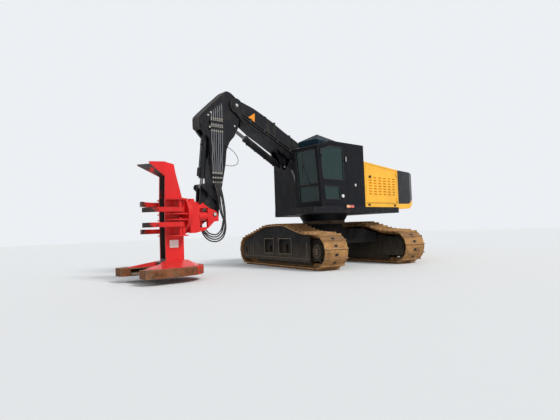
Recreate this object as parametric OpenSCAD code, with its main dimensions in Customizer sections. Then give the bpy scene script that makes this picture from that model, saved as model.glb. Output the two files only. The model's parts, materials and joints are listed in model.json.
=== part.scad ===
/* [Stance] */
// Heading of the undercarriage's front, seen from the boom's heading, in degrees
track_heading = -102.3; // [-180:0.1:180]
// Running gap round a pin in its eye
pin_gap = 0.1; // [0.02:0.01:0.1]
// Side gap between two pieces on one pin
side_gap = 6; // [4:1:12]
// Gap between a piece and the seat that it only rests on
seat_gap = 0.3; // [0.1:0.1:0.8]

/* [Tracks] */
// Length over the grousers
track_length = 4880; // [4700:10:5100]
// Width over the shoes of both tracks
track_span = 3410; // [3300:10:3600]
// Width of one shoe
shoe_width = 700; // [600:10:760]
// Number of shoes in one loop
shoe_count = 52; // [48:1:56]
// Thickness of a shoe's plate
shoe_plate = 24; // [18:1:30]
// Height of the grouser bar on a shoe
grouser = 42; // [30:1:50]
// Height of the chain's pin line above the inside of its links
link_inner = 48; // [40:1:54]
// Height from the chain's pin line to the outside of a shoe's plate
link_outer = 64; // [58:1:70]
// Thickness of each chain rail
rail_thick = 52; // [40:1:60]
// Clear width between the two chain rails
rail_clear = 96; // [90:1:110]
// Radius of the loop over the grousers at the sprocket
sprocket_reach = 480; // [460:5:500]
// Radius of the loop over the grousers at the idler
idler_reach = 462; // [440:5:480]

/* [Track frames] */
// Width of the box beam between the tracks' loops
beam_width = 330; // [300:10:360]
// Thickness of the outer guard plate
guard_thick = 30; // [20:1:40]
// Outer face of the guard plate, back from the shoes' ends
guard_inset = 60; // [40:5:90]
// Radius of a lower roller's tread
roller_r = 96; // [85:1:105]
// Radius of an upper carrier roller's tread
carrier_r = 82; // [70:1:90]
// Number of lower rollers under each frame
roller_count = 8; // [6:1:9]
// Radius of the final drive's cover
drive_r = 205; // [180:5:230]

/* [Carbody] */
// Top of the carbody's centre box
carbody_top = 1020; // [980:5:1060]
// Underside of the carbody's centre box
carbody_low = 600; // [560:5:660]
// Radius of the fixed pedestal
pedestal_r = 565; // [520:5:600]
// Outer radius of the slewing ring
slew_r = 640; // [600:5:680]
// Underside of the slewing ring
slew_low = 1190; // [1150:5:1220]
// Height of the slewing ring's fixed race
slew_height = 90; // [70:5:110]

/* [Deck] */
// Top of the upper frame's deck
deck_top = 1631; // [1600:1:1660]
// Thickness of the upper frame
deck_thick = 170; // [140:5:200]
// Left side of the upper works
left_side = 1490; // [1450:5:1540]
// Right side of the upper works
right_side = 1450; // [1400:5:1500]
// Back edge of the deck
deck_back = -1835; // [-1900:5:-1780]

/* [Cab] */
// Front of the cab at its roof's edge
cab_front = 1817; // [1780:1:1860]
// Front of the cab at the floor
cab_foot = 1681; // [1640:1:1720]
// Front of the flat part of the roof
cab_peak = 1311; // [1250:1:1360]
// Back wall of the cab
cab_back = -146; // [-180:1:-120]
// Inner side of the cab, towards the boom
cab_inner = 560; // [540:5:620]
// Height of the roof's front edge
cab_brow = 3220; // [3180:5:3260]
// Height of the roof
cab_roof = 3387; // [3340:1:3430]
// Thickness of the cab's walls and door
cab_wall = 62; // [50:1:80]
// Thickness of the window panes
pane = 14; // [8:1:20]
// Back edge of the door opening
door_back = 640; // [620:5:660]
// Width of the pillar between the front glass and the door
pillar = 90; // [80:5:110]
// Gap round the door in its opening
door_gap = 8; // [5:1:12]

/* [Boom] */
// Distance of the boom's foot pin ahead of the swing centre
foot_x = 150; // [120:5:180]
// Height of the boom's foot pin
foot_z = 2550; // [2520:5:2580]
// Half the width of the boom
boom_half = 210; // [200:1:225]
// Radius of the boom's and the stick's main pins
main_pin = 55; // [45:1:60]
// Distance of the stick's pin ahead of the swing centre
nose_x = 3391; // [3380:1:3400]
// Height of the stick's pin
nose_z = 4280; // [4270:1:4290]

/* [Stick] */
// Half the width of the stick
stick_half = 165; // [150:1:170]
// Distance of the wrist pin ahead of the swing centre
wrist_x = 4180; // [4170:1:4190]
// Height of the wrist pin
wrist_z = 1490; // [1480:1:1500]

/* [Cylinders] */
// Outer radius of the two boom cylinders
lift_r = 78; // [70:1:85]
// Outer radius of the stick cylinder
reach_r = 82; // [75:1:90]
// Outer radius of the tilt cylinder
tilt_r = 72; // [64:1:80]
// Radius of the boom and stick cylinders' rods
rod_r = 45; // [38:1:50]
// Radius of the tilt cylinder's rod
tilt_rod_r = 40; // [34:1:45]

/* [Felling head] */
// Front face of the wrist bracket, where the head's slewing plate turns
ring_plane = 4920; // [4910:1:4930]
// Height of the middle of the slewing plate
ring_z = 1500; // [1480:5:1520]
// Radius of the head's slewing plate
ring_r = 400; // [380:5:410]
// Middle of the saw ahead of the swing centre
saw_x = 5400; // [5380:5:5420]
// Radius of the saw housing
housing_r = 860; // [840:5:880]
// Front ends of the housing's two prongs
prong_reach = 6240; // [6220:5:6260]
// Underside of the saw housing
rim_low = 145; // [130:5:160]
// Top of the saw housing's rim
rim_height = 330; // [315:5:345]
// Radius over the teeth of the saw
saw_r = 735; // [700:5:750]
// Thickness of the saw's plate
saw_thick = 30; // [24:1:36]
// Number of teeth on the saw
tooth_count = 18; // [14:1:20]
// Front of the tower
tower_front = 5450; // [5430:5:5470]
// Half the width of the tower's column
tower_half = 140; // [130:5:150]
// Top of the tower's column
tower_top = 1850; // [1840:5:1870]
// Depth of one gathering arm, up and down
arm_thick = 105; // [90:5:110]
// Top of the horn's wings
horn_top = 2700; // [2660:5:2740]

/* [Engine bay] */
// Height of the hood at its front
hood_front_z = 2935; // [2900:5:2960]
// Height of the hood at its back
hood_back_z = 2785; // [2760:5:2820]
// Thickness of the hood's panels and door
hood_wall = 40; // [30:1:50]
// Back of the counterweight
tail_x = -3250; // [-3300:5:-3200]
// Half the width of the counterweight at its tail
tail_half = 1100; // [1050:5:1150]

/* [Hidden] */
$fn = 48;
many = 72;

// The row's origin is below the middle of the whole machine's box.
origin_x = (tail_x + prong_reach) / 2;

// Working points of the arm, as [ahead, height]
foot = [foot_x, foot_z];
nose = [nose_x, nose_z];
wrist = [wrist_x, wrist_z];
lift_base = [420, 1745];
lift_eye = [970, 3020];
reach_base = [1714, 2819];
reach_eye = [3439, 3745];
tilt_base = [4212, 3628];
link_pin = [4386, 2166];
guide_pin = [4045, 1850];
head_lug = [4420, 1740];

// Places that the arm's pieces share across their width
fork_in = stick_half + side_gap;
lift_side = 358;
lift_eye_half = 45;
eye_half = 48;
lug_in = eye_half + side_gap;
lug_out = lug_in + 50;
boss_end = fork_in + 60;

module in_row() {
    translate([-origin_x, 0, 0]) children();
}

module under_row() {
    in_row() rotate([0, 0, track_heading]) children();
}

// An outline drawn as [ahead, height], made solid from one side to the other
module across(low, high) {
    translate([0, high, 0]) rotate([90, 0, 0]) linear_extrude(height = high - low) children();
}

module both_sides() {
    children();
    mirror([0, 1, 0]) children();
}

module pin_across(at, r, low, high) {
    translate([at[0], high, at[1]]) rotate([90, 0, 0]) cylinder(r = r, h = high - low);
}

function bearing(a, b) = atan2(b[0] - a[0], b[1] - a[1]);
function gap_between(a, b) = norm(b - a);

// A frame whose +Z runs from point a to point b
module along(a, b, side = 0) {
    translate([a[0], side, a[1]]) rotate([0, bearing(a, b), 0]) children();
}

// Track loop
side_middle = (track_span - shoe_width) / 2;
sprocket_pitch_r = sprocket_reach - grouser - link_outer;
idler_pitch_r = idler_reach - grouser - link_outer;
sprocket_x = sprocket_reach - track_length / 2;
idler_x = track_length / 2 - idler_reach;

wheel_base = idler_x - sprocket_x;

// The loop's top run over the grousers, as [share of the wheel base, height]
HUMPS = [[0.066, 2 * sprocket_reach + 8], [0.173, 1000], [0.295, 1125], [0.383, 1228],
    [0.498, 1238], [0.681, 1222], [0.777, 1125], [0.879, 1030], [0.942, 2 * idler_reach + 41]];
TOP_RUN = [for (h = HUMPS) [sprocket_x + h[0] * wheel_base, h[1]]];
pin_drop = grouser + link_outer;

function arc_points(cx, cz, r, from, to, n) =
    [for (i = [0:n]) let (a = from + (to - from) * i / n) [cx + r * cos(a), cz + r * sin(a)]];

// The pin line, counter-clockwise as seen with the front on the right
PIN_LINE = concat(
    arc_points(idler_x, idler_reach, idler_pitch_r, -90, 76, 20),
    [for (i = [len(TOP_RUN) - 1:-1:0]) [TOP_RUN[i][0], TOP_RUN[i][1] - pin_drop]],
    arc_points(sprocket_x, sprocket_reach, sprocket_pitch_r, 92, 270, 22));

function run_lengths(p, i = 0, sum = 0) =
    i == len(p) ? [sum] :
    concat([sum], run_lengths(p, i + 1, sum + norm(p[(i + 1) % len(p)] - p[i])));
PIN_RUN = run_lengths(PIN_LINE);
LOOP_LENGTH = PIN_RUN[len(PIN_LINE)];

function seek(s, i = 0) = PIN_RUN[i + 1] >= s ? i : seek(s, i + 1);
function on_loop(s) =
    let (w = s - floor(s / LOOP_LENGTH) * LOOP_LENGTH, i = seek(w),
         a = PIN_LINE[i], b = PIN_LINE[(i + 1) % len(PIN_LINE)],
         t = (w - PIN_RUN[i]) / (PIN_RUN[i + 1] - PIN_RUN[i]))
    a + (b - a) * t;
LINK_PINS = [for (i = [0:shoe_count - 1]) on_loop(i * LOOP_LENGTH / shoe_count)];

// One link's points, as [share of the pitch, height above the pin line]
SHOE_FORM = [[0.04, link_outer], [0.70, link_outer], [0.74, link_outer + grouser],
    [0.83, link_outer + grouser], [0.87, link_outer], [0.97, link_outer]];

function link_point(i, share, up) =
    let (a = LINK_PINS[i], b = LINK_PINS[(i + 1) % shoe_count], d = (b - a) / norm(b - a))
    a + (b - a) * share + up * [d[1], -d[0]];

function loop_line(form) =
    [for (i = [0:shoe_count - 1]) for (f = form) link_point(i, f[0], f[1])];

module track_loop() {
    shoe_in = link_outer - shoe_plate;
    across(-shoe_width / 2, shoe_width / 2) difference() {
        polygon(loop_line(SHOE_FORM));
        polygon(loop_line([[0, shoe_in]]));
    }
    both_sides() across(rail_clear / 2, rail_clear / 2 + rail_thick) difference() {
        polygon(loop_line([[0, shoe_in + 1]]));
        polygon(loop_line([[0.12, -link_inner], [0.88, -link_inner]]));
    }
}

module track_left() {
    color("saddlebrown") under_row() translate([0, side_middle, 0]) track_loop();
}

module track_right() {
    color("saddlebrown") under_row() translate([0, -side_middle, 0]) track_loop();
}

// Where the wheels run: the lower rollers' and carriers' places along the track
roller_z = grouser + link_outer + link_inner + roller_r + seat_gap;
beam_back = sprocket_x + 490;
beam_front = idler_x - 498;
roller_first = beam_back + 90;
roller_last = beam_front - 120;
ROLLER_X = [for (i = [0:roller_count - 1])
    roller_first + (roller_last - roller_first) * i / (roller_count - 1)];
CARRIER_X = [for (share = [0.4164, 0.65]) sprocket_x + share * wheel_base];
carrier_z = 1228 - pin_drop - link_inner - carrier_r - 12;
tread_out = rail_clear / 2 + rail_thick;
flange = 20;

// A roller with two treads and flanges inside the chain's rails, and its axle
module roller(r, axle_half) {
    rotate([90, 0, 0]) translate([0, 0, -axle_half]) rotate_extrude($fn = many) polygon([
        [0, 0], [40, 0], [40, axle_half - tread_out - 8], [r, axle_half - tread_out - 8],
        [r, axle_half - rail_clear / 2 + 4], [r + flange, axle_half - rail_clear / 2 + 10],
        [r + flange, axle_half + rail_clear / 2 - 10], [r, axle_half + rail_clear / 2 - 4],
        [r, axle_half + tread_out + 8], [40, axle_half + tread_out + 8],
        [40, 2 * axle_half], [0, 2 * axle_half]]);
}

skirt_in = beam_width / 2 - 35;

module track_rollers() {
    color("dimgray") under_row() for (side = [-1, 1]) translate([0, side * side_middle, 0]) {
        for (x = ROLLER_X) translate([x, 0, roller_z]) roller(roller_r, skirt_in - seat_gap);
        for (x = CARRIER_X) translate([x, 0, carrier_z]) roller(carrier_r, skirt_in - seat_gap);
    }
}

link_turn = LOOP_LENGTH / shoe_count / idler_pitch_r * 180 / PI;
// What the loop's arcs lose to their short straight steps
arc_sag = 1.2;
idler_wheel_r = idler_pitch_r * cos(link_turn / 2) - link_inner - seat_gap - arc_sag;

module idlers() {
    color("dimgray") under_row() for (side = [-1, 1])
        translate([idler_x, side * side_middle, idler_reach]) rotate([90, 0, 0])
            translate([0, 0, -skirt_in]) rotate_extrude($fn = many) polygon([
                [0, seat_gap], [70, seat_gap], [70, skirt_in - tread_out],
                [idler_wheel_r - 70, skirt_in - 60], [idler_wheel_r, skirt_in - tread_out],
                [idler_wheel_r, skirt_in - rail_clear / 2 + 4],
                [idler_wheel_r + 40, skirt_in - rail_clear / 2 + 12],
                [idler_wheel_r + 40, skirt_in + rail_clear / 2 - 12],
                [idler_wheel_r, skirt_in + rail_clear / 2 - 4],
                [idler_wheel_r, skirt_in + tread_out], [idler_wheel_r - 70, skirt_in + 60],
                [70, skirt_in + tread_out], [70, 2 * skirt_in - seat_gap],
                [0, 2 * skirt_in - seat_gap]]);
}

sprocket_teeth = 11;
sprocket_root = sprocket_pitch_r - 34;
hub_r = drive_r - 30;

module sprockets() {
    step = 360 / sprocket_teeth;
    color("dimgray") under_row() for (side = [-1, 1])
        translate([sprocket_x, side * side_middle, sprocket_reach]) difference() {
            across(-32, 32) polygon([for (i = [0:sprocket_teeth - 1])
                for (f = [[0, sprocket_root], [0.3, sprocket_root],
                          [0.42, sprocket_pitch_r + 14], [0.58, sprocket_pitch_r + 14],
                          [0.7, sprocket_root]])
                f[1] * [cos((i + f[0]) * step), sin((i + f[0]) * step)]]);
            pin_across([0, 0], hub_r + seat_gap, -40, 40);
        }
}

guard_out = shoe_width / 2 - guard_inset;

module final_drives() {
    color("#2b2826") under_row() for (side = [-1, 1]) mirror([0, side < 0 ? 1 : 0, 0])
        translate([sprocket_x, side_middle, sprocket_reach]) {
            pin_across([0, 0], hub_r, -guard_out, guard_out - 60);
            pin_across([0, 0], drive_r, 33, guard_out - 30);
            pin_across([0, 0], drive_r - 25, guard_out - 30.5, guard_out + 10);
            pin_across([0, 0], drive_r + 20, -guard_out - 20, -33);
        }
}

// The box beam's side, as [along the track, height]
BEAM = [[beam_back, 330], [beam_front, 330], [beam_front, 700], [beam_front - 330, 880],
    [beam_front - 720, 960], [beam_back + 950, 960], [beam_back + 570, 850],
    [beam_back + 90, 770], [beam_back, 700]];
// The guard's upper edge lies under the shoes
guard_drop = grouser + shoe_plate + 22;
guard_back = sprocket_x + 320;
GUARD = concat([[guard_back, 230], [idler_x + 142, 230], [idler_x + 272, 330],
    [idler_x + 282, 560], [idler_x + 102, 745]],
    [for (i = [len(TOP_RUN) - 2:-1:1]) [TOP_RUN[i][0], TOP_RUN[i][1] - guard_drop]],
    [[guard_back, 870]]);
// Step pockets in the guard and the openings in their back plates, as [from, to, low, high]
POCKETS = [[230, 770, 390, 800], [-740, -80, 390, 800]];
POCKET_HOLES = [[270, 600, 430, 600], [-530, -340, 420, 660]];
pocket_deep = 70;

module side_opening(p, grow = 0) {
    translate([p[0] - grow, p[2] - grow]) square([p[1] - p[0] + 2 * grow, p[3] - p[2] + 2 * grow]);
}

module guard_plate() {
    across(guard_out - guard_thick, guard_out) difference() {
        polygon(GUARD);
        for (p = POCKETS) side_opening(p);
        translate([idler_x, idler_reach]) circle(r = 90);
    }
    // Each pocket's back plate, side plates and proud frame
    for (i = [0, 1]) across(guard_out - pocket_deep - 12, guard_out - pocket_deep) difference() {
        side_opening(POCKETS[i], 20);
        side_opening(POCKET_HOLES[i]);
    }
    for (p = POCKETS) for (x = [p[0] - 20, p[1]])
        translate([x, beam_width / 2 - 1, 335]) cube([20, guard_out - beam_width / 2 - 5, 485]);
    for (p = POCKETS) across(guard_out - 1, guard_out + 14) difference() {
        side_opening(p, 30);
        side_opening(p);
    }
}

// Plate round the travel motor on the track's inner side
module motor_guard() {
    across(-guard_out, -guard_out + 25) difference() {
        polygon([[sprocket_x + 520, 240], [sprocket_x - 190, 240], [sprocket_x - 270, 330],
            [sprocket_x - 280, 600], [sprocket_x - 190, 740], [sprocket_x + 520, 770]]);
        translate([sprocket_x, sprocket_reach]) circle(r = drive_r + 20 + seat_gap, $fn = many);
    }
    translate([beam_back + 2, -guard_out + 1, 350]) cube([20, guard_out - beam_width / 2, 330]);
}

module track_frame() {
    // Beam with a channel below for the rollers and pockets above for the carriers
    difference() {
        across(-beam_width / 2, beam_width / 2) polygon(BEAM);
        for (x = ROLLER_X) translate([x, 0, roller_z])
            cube([2 * (roller_r + flange + 14), 2 * skirt_in, 2 * (roller_r + flange + 10)],
                center = true);
        for (x = CARRIER_X) translate([x, 0, carrier_z])
            cube([2 * (carrier_r + flange + 14), 2 * skirt_in, 2 * (carrier_r + flange + 14)],
                center = true);
    }
    // Skirts that carry the rollers' axles
    both_sides() across(skirt_in, beam_width / 2) polygon([[beam_back - 30, 100],
        [beam_front + 20, 100], [beam_front + 80, 331], [beam_back - 90, 331]]);
    // Idler yoke
    both_sides() across(skirt_in, beam_width / 2) polygon([[beam_front - 10, 340],
        [idler_x + 120, 380], [idler_x + 120, 540], [beam_front - 10, 690]]);
    // Arms that hold the final drive
    both_sides() across(skirt_in, beam_width / 2) difference() {
        polygon([[beam_back + 70, 340], [beam_back + 70, 760], [sprocket_x + 60, 760],
            [sprocket_x - 130, 640], [sprocket_x - 130, 340], [sprocket_x + 60, 220],
            [beam_back - 90, 220]]);
        translate([sprocket_x, sprocket_reach]) circle(r = drive_r + 20 + seat_gap, $fn = many);
    }
    guard_plate();
    motor_guard();
    // Ribs that join the guard to the beam, and the guard's own proud ribs and lower rail
    for (x = [beam_back - 90, beam_front - 80]) translate([x - 10, beam_width / 2 - 1, 335])
        cube([20, guard_out - beam_width / 2 - 5, 360]);
    for (x = [beam_back - 55, beam_front + 50]) translate([x - 15, guard_out - 1, 280])
        cube([30, 16, 420]);
    across(guard_out - 1, guard_out + 15) polygon([[guard_back + 20, 190], [idler_x + 255, 190],
        [idler_x + 315, 286], [guard_back + 20, 286]]);
}

module track_frame_left() {
    color("#26211d") under_row() translate([0, side_middle, 0]) track_frame();
}

module track_frame_right() {
    color("#26211d") under_row() mirror([0, 1, 0]) translate([0, side_middle, 0]) track_frame();
}

// Carbody
beam_side = side_middle - beam_width / 2;
leg_x = 800;
leg_half = 190;
leg_top = 880;

module carbody() {
    color("#2b2826") under_row() {
        difference() {
            translate([0, 0, carbody_low]) linear_extrude(height = carbody_top - carbody_low)
                union() {
                    circle(r = 760, $fn = many);
                    for (s = [-1, 1]) polygon([[s * 560, -500], [s * (leg_x + leg_half), -beam_side],
                        [s * (leg_x - leg_half), -beam_side], [0, -600], [0, 600],
                        [s * (leg_x - leg_half), beam_side], [s * (leg_x + leg_half), beam_side],
                        [s * 560, 500]]);
                }
            translate([0, 0, carbody_low - 1]) cylinder(r = 380, h = 200, $fn = many);
            // The legs slope down under the tracks
            both_sides() translate([-1100, 0, 0]) rotate([90, 0, 90])
                linear_extrude(height = 2200) polygon([[pedestal_r + 195, carbody_top],
                    [beam_side + 1, leg_top], [beam_side + 1, carbody_top + 10],
                    [pedestal_r + 195, carbody_top + 10]]);
            for (s = [-1, 1]) translate([s * tow_hole_x, 0, carbody_low - 1])
                cylinder(r = tow_hole_r, h = carbody_top, $fn = many);
        }
        translate([0, 0, carbody_top - 1]) cylinder(r1 = pedestal_r + 60, r2 = pedestal_r, h = 61);
        translate([0, 0, carbody_top]) cylinder(r = pedestal_r, h = slew_low - carbody_top);
    }
}
tow_hole_x = 680;
tow_hole_r = 35;

module slewing_ring() {
    color("dimgray") under_row() translate([0, 0, slew_low]) difference() {
        cylinder(r = slew_r, h = slew_height, $fn = 120);
        translate([0, 0, -1]) cylinder(r = slew_bore, h = slew_height + 2, $fn = 120);
    }
}

// Upper frame
deck_low = deck_top - deck_thick;
deck_front = cab_foot + 310;
slew_top = slew_low + slew_height + seat_gap;
slew_bore = 470;
bracket_in = boom_half + side_gap;
bracket_out = bracket_in + 45;

module turntable() {
    color("#1d1d1f") in_row() difference() {
        union() {
            translate([0, 0, deck_low]) linear_extrude(height = deck_thick) polygon([
                [deck_back, -right_side], [680, -right_side], [680, -470], [1560, -330],
                [1560, 420], [deck_front - 60, cab_inner + 60], [deck_front, left_side],
                [deck_back, left_side]]);
            translate([0, 0, slew_top]) cylinder(r1 = slew_r, r2 = slew_r + 110,
                h = deck_low - slew_top + 1, $fn = many);
            translate([0, 0, slew_low + seat_gap])
                cylinder(r = slew_bore - pin_gap, h = slew_height + 2, $fn = 120);
            // Boom foot plates and the lower lugs of the boom cylinders
            both_sides() across(bracket_in, bracket_out) polygon([[hood_front + 30, deck_top - 1],
                [820, deck_top - 1], [foot_x + 160, foot_z + 70], [foot_x - 160, foot_z + 70]]);
            both_sides() pin_across(foot, 175, bracket_in, bracket_out);
            for (side = [-1, 1]) for (s = [-1, 1])
                across(side * lift_side + s * (lift_eye_half + side_gap + 11) - 11,
                       side * lift_side + s * (lift_eye_half + side_gap + 11) + 11)
                    polygon([lift_base + [-110, -116], lift_base + [110, -116],
                        lift_base + [70, 70], lift_base + [-70, 70]]);
            // Foot pin and the boom cylinders' lower pins, held in their plates
            pin_across(foot, main_pin, -bracket_out - 15, bracket_out + 15);
            for (side = [-1, 1]) pin_across(lift_base, 38,
                side * lift_side - 80, side * lift_side + 80);
        }
        // Wells under the lower eyes of the boom cylinders
        for (side = [-1, 1]) translate([lift_base[0], side * lift_side, deck_top])
            cube([200, 2 * (lift_eye_half + side_gap), 60], center = true);
    }
}

// Cab
CAB_SIDE = [[cab_back, deck_top + seat_gap], [cab_foot, deck_top + seat_gap],
    [cab_front, cab_brow], [cab_peak, cab_roof], [cab_back, cab_roof]];
lean = (cab_front - cab_foot) / (cab_brow - deck_top);
function glass_front(z) = cab_foot + (z - deck_top) * lean;
CAB_ROOM = [[cab_back + cab_wall, deck_top + cab_wall], [cab_foot - cab_wall, deck_top + cab_wall],
    [cab_front - cab_wall - 10, cab_brow - cab_wall + 18], [cab_peak - 10, cab_roof - cab_wall],
    [cab_back + cab_wall, cab_roof - cab_wall]];
// The cut corner towards the boom
corner_x = cab_foot + 20;
corner_y = cab_inner + 80;
CAB_PLAN = [[cab_back - 10, cab_inner], [corner_x, cab_inner], [cab_front + 10, corner_y],
    [cab_front + 10, left_side], [cab_back - 10, left_side]];
CAB_ROOM_PLAN = [[cab_back - 10, cab_inner + cab_wall], [corner_x - 26, cab_inner + cab_wall],
    [cab_front + 10 - 26, corner_y + cab_wall - 26], [cab_front + 10, left_side - cab_wall],
    [cab_back - 10, left_side - cab_wall]];
door_low = 1700;
door_turn = 3165;
door_high = 3300;
function door_edge(z) = glass_front(z) - pillar;
// The door's outline, drawn in by a gap all round
function door_line(g) = [[door_back + g, door_low + g], [door_edge(door_low) - g, door_low + g],
    [door_edge(door_turn) - g, door_turn - 0.7 * g], [cab_peak, door_high - g],
    [door_back + g, door_high - g]];
window_low = 2360;
window_turn = 3120;
window_high = 3245;
light_low = 1830;
light_high = 2170;
light_back = 960;
// The door's upper and lower panes, drawn in by a gap all round
function upper_pane(g) = [[door_back + 130 + g, window_low + g],
    [door_edge(window_low) - 45 - g, window_low + g],
    [door_edge(window_turn) - 45 - g, window_turn - 0.7 * g],
    [cab_peak - 60, window_high - g], [door_back + 130 + g, window_high - g]];
function lower_pane(g) = [[light_back + g, light_low + g],
    [door_edge(light_low) - 85 - g, light_low + g],
    [door_edge(light_high) - 85 - g, light_high - g], [light_back + g, light_high - g]];
// Panes in the cab's inner side and back, as [from, to, low, high]
INNER_PANES = [[600, 1480, 2000, 3150]];
REAR_PANES = [[700, 1350, 2950, 3250]];
// Bands of the front glass, as [low, high], and the frame beside them
FRONT_BANDS = [[1780, 2180], [2240, 3130]];
front_frame = 70;
front_post = 85;
glass_deep = 34;

module cab_block(plan, side) {
    intersection() {
        linear_extrude(height = cab_roof + 100) polygon(plan);
        across(cab_inner - 100, left_side + 100) polygon(side);
    }
}

// Everything between the pillars of the front and of the cut corner
module front_openings(deep) {
    for (band = FRONT_BANDS) translate([0, 0, band[0]])
        linear_extrude(height = band[1] - band[0]) polygon([
            [cab_front - deep, corner_y + front_frame], [cab_front + 100, corner_y + front_frame],
            [cab_front + 100, left_side - front_post], [cab_front - deep, left_side - front_post]]);
}

// A place on the door's hinge line, which leans as the pillar does
module on_hinge(z) {
    translate([door_edge(z) + 14, hinge_y, z]) rotate([0, atan(lean), 0]) children();
}

module cab_shell() {
    color("#17181a") in_row() difference() {
        cab_block(CAB_PLAN, CAB_SIDE);
        cab_block(CAB_ROOM_PLAN, CAB_ROOM);
        front_openings(400);
        across(left_side - cab_wall - 50, left_side + 150) polygon(door_line(0));
        for (p = INNER_PANES) translate([p[0], cab_inner - 50, p[2]])
            cube([p[1] - p[0], cab_wall + 100, p[3] - p[2]]);
        for (p = REAR_PANES) translate([cab_back - 50, p[0], p[2]])
            cube([cab_wall + 100, p[1] - p[0], p[3] - p[2]]);
        translate([roof_x0 + 70, roof_y0 + 70, cab_roof - 200])
            cube([cab_peak - 60 - roof_x0 - 70, roof_y1 - roof_y0 - 140, 300]);
        // Hinge seats beside the door's front edge
        for (z = HINGE_Z) on_hinge(z) translate([-15, -24, -hinge_seat])
            cube([36, 60, 2 * hinge_seat]);
    }
    // Hinge pins of the door
    color("#17181a") in_row() for (z = HINGE_Z) on_hinge(z) translate([0, 0, -hinge_seat - 5])
        cylinder(r = hinge_pin, h = 2 * hinge_seat + 10);
}
hinge_seat = 62;
hinge_pin = 7;
HINGE_Z = [2000, 2950];
hinge_y = left_side - 2;

module cab_glass() {
    color("#0e3a3c") in_row() {
        for (band = FRONT_BANDS) across(corner_y + front_frame + seat_gap,
            left_side - front_post - seat_gap) polygon([
                [glass_front(band[0] + 10) - glass_deep, band[0] + 10],
                [glass_front(band[0] + 10) - glass_deep + pane, band[0] + 10],
                [glass_front(band[1] - 10) - glass_deep + pane, band[1] - 10],
                [glass_front(band[1] - 10) - glass_deep, band[1] - 10]]);
        for (p = INNER_PANES) translate([p[0] + seat_gap, cab_inner + 24, p[2] + seat_gap])
            cube([p[1] - p[0] - 2 * seat_gap, pane, p[3] - p[2] - 2 * seat_gap]);
        for (p = REAR_PANES) translate([cab_back + 24, p[0] + seat_gap, p[2] + seat_gap])
            cube([pane, p[1] - p[0] - 2 * seat_gap, p[3] - p[2] - 2 * seat_gap]);
    }
}

module cab_door() {
    color("#17181a") in_row() {
        difference() {
            across(left_side - cab_wall, left_side) polygon(door_line(door_gap));
            across(left_side - cab_wall - 5, left_side + 5) {
                polygon(upper_pane(0));
                polygon(lower_pane(0));
            }
        }
        for (z = HINGE_Z) on_hinge(z) difference() {
            union() {
                translate([0, 0, -55]) cylinder(r = 14, h = 110);
                translate([-82, 1, -45]) cube([82, 10, 90]);
            }
            translate([0, 0, -56]) cylinder(r = hinge_pin + pin_gap, h = 112);
        }
        // Handle
        for (z = [handle_low, handle_low + 90]) translate([door_back + 40, left_side - 1, z])
            cube([20, 30, 20]);
        translate([door_back + 40, left_side + 22, handle_low]) cube([20, 14, 110]);
    }
}
handle_low = 2870;

module cab_door_glass() {
    middle = left_side - cab_wall / 2;
    color("#0e3a3c") in_row() across(middle, middle + pane) {
        polygon(upper_pane(seat_gap));
        polygon(lower_pane(seat_gap));
    }
}

seat_x = 520;
seat_y = 1000;

module operator_seat() {
    floor_z = deck_top + cab_wall + seat_gap;
    color("#202225") in_row() {
        translate([seat_x - 190, seat_y - 200, floor_z]) cube([380, 400, 330]);
        translate([seat_x - 250, seat_y - 245, floor_z + 329]) cube([520, 490, 120]);
        translate([seat_x - 250, 0, floor_z + 448]) rotate([0, -8, 0])
            translate([0, seat_y - 235, -10]) cube([120, 470, 720]);
        for (s = [-1, 1]) translate([seat_x - 120, seat_y + s * 300 - 60, floor_z + 540])
            cube([420, 120, 50]);
        for (s = [-1, 1]) translate([seat_x - 150, seat_y + s * 280 - 40, floor_z + 380])
            cube([60, 80, 200]);
    }
}

// Roof window: a low peaked hood of flat panes over the hatch
roof_x0 = 750;
roof_x1 = 1600;
roof_y0 = 620;
roof_y1 = 1350;
function roof_z(x) = x < cab_peak ? cab_roof + seat_gap
    : cab_roof + seat_gap - (x - cab_peak) * (cab_roof - cab_brow) / (cab_front - cab_peak);

// The peaked form, drawn in by a wall
module peaked(w) {
    intersection() {
        across(roof_y0 + w, roof_y1 - w) polygon([[roof_x0 + w, roof_z(roof_x0) - w / 40],
            [cab_peak, roof_z(cab_peak) - w / 40], [roof_x1 - w, roof_z(roof_x1 - w) - w / 40],
            [roof_x1 - w, 3400 - w], [1600 - w, 3440 - w], [1300, 3628 - w],
            [roof_x0 + w, 3430 - w]]);
        translate([roof_x0, 0, 0]) rotate([90, 0, 90]) linear_extrude(height = roof_x1 - roof_x0)
            polygon([[roof_y0 + w, 3100], [roof_y1 - w, 3100], [roof_y1 - w, 3400 - w],
                [1040, 3628 - w], [roof_y0 + w, 3450 - w]]);
    }
}

module roof_window() {
    color("#123032") in_row() difference() {
        peaked(0);
        peaked(40);
    }
}

// Tank and valve house on the right
house_inner = -470;

house_front = 670;
house_back = -1180;
house_high = 1540;
// Its three doors, set in from the side, as [back edge, width]
HOUSE_DOORS = [[-1000, 440], [-400, 440], [200, 400]];

module side_house() {
    color("#131315") in_row() difference() {
        translate([house_back, -right_side, deck_top])
            cube([house_front - house_back, right_side + house_inner, house_high]);
        for (d = HOUSE_DOORS) translate([d[0], -right_side - 10, deck_top + 120])
            cube([d[1], 26, house_high - 340]);
    }
}

// Hood over the engine, open on its left for the door
hood_front = cab_back - 14;

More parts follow.
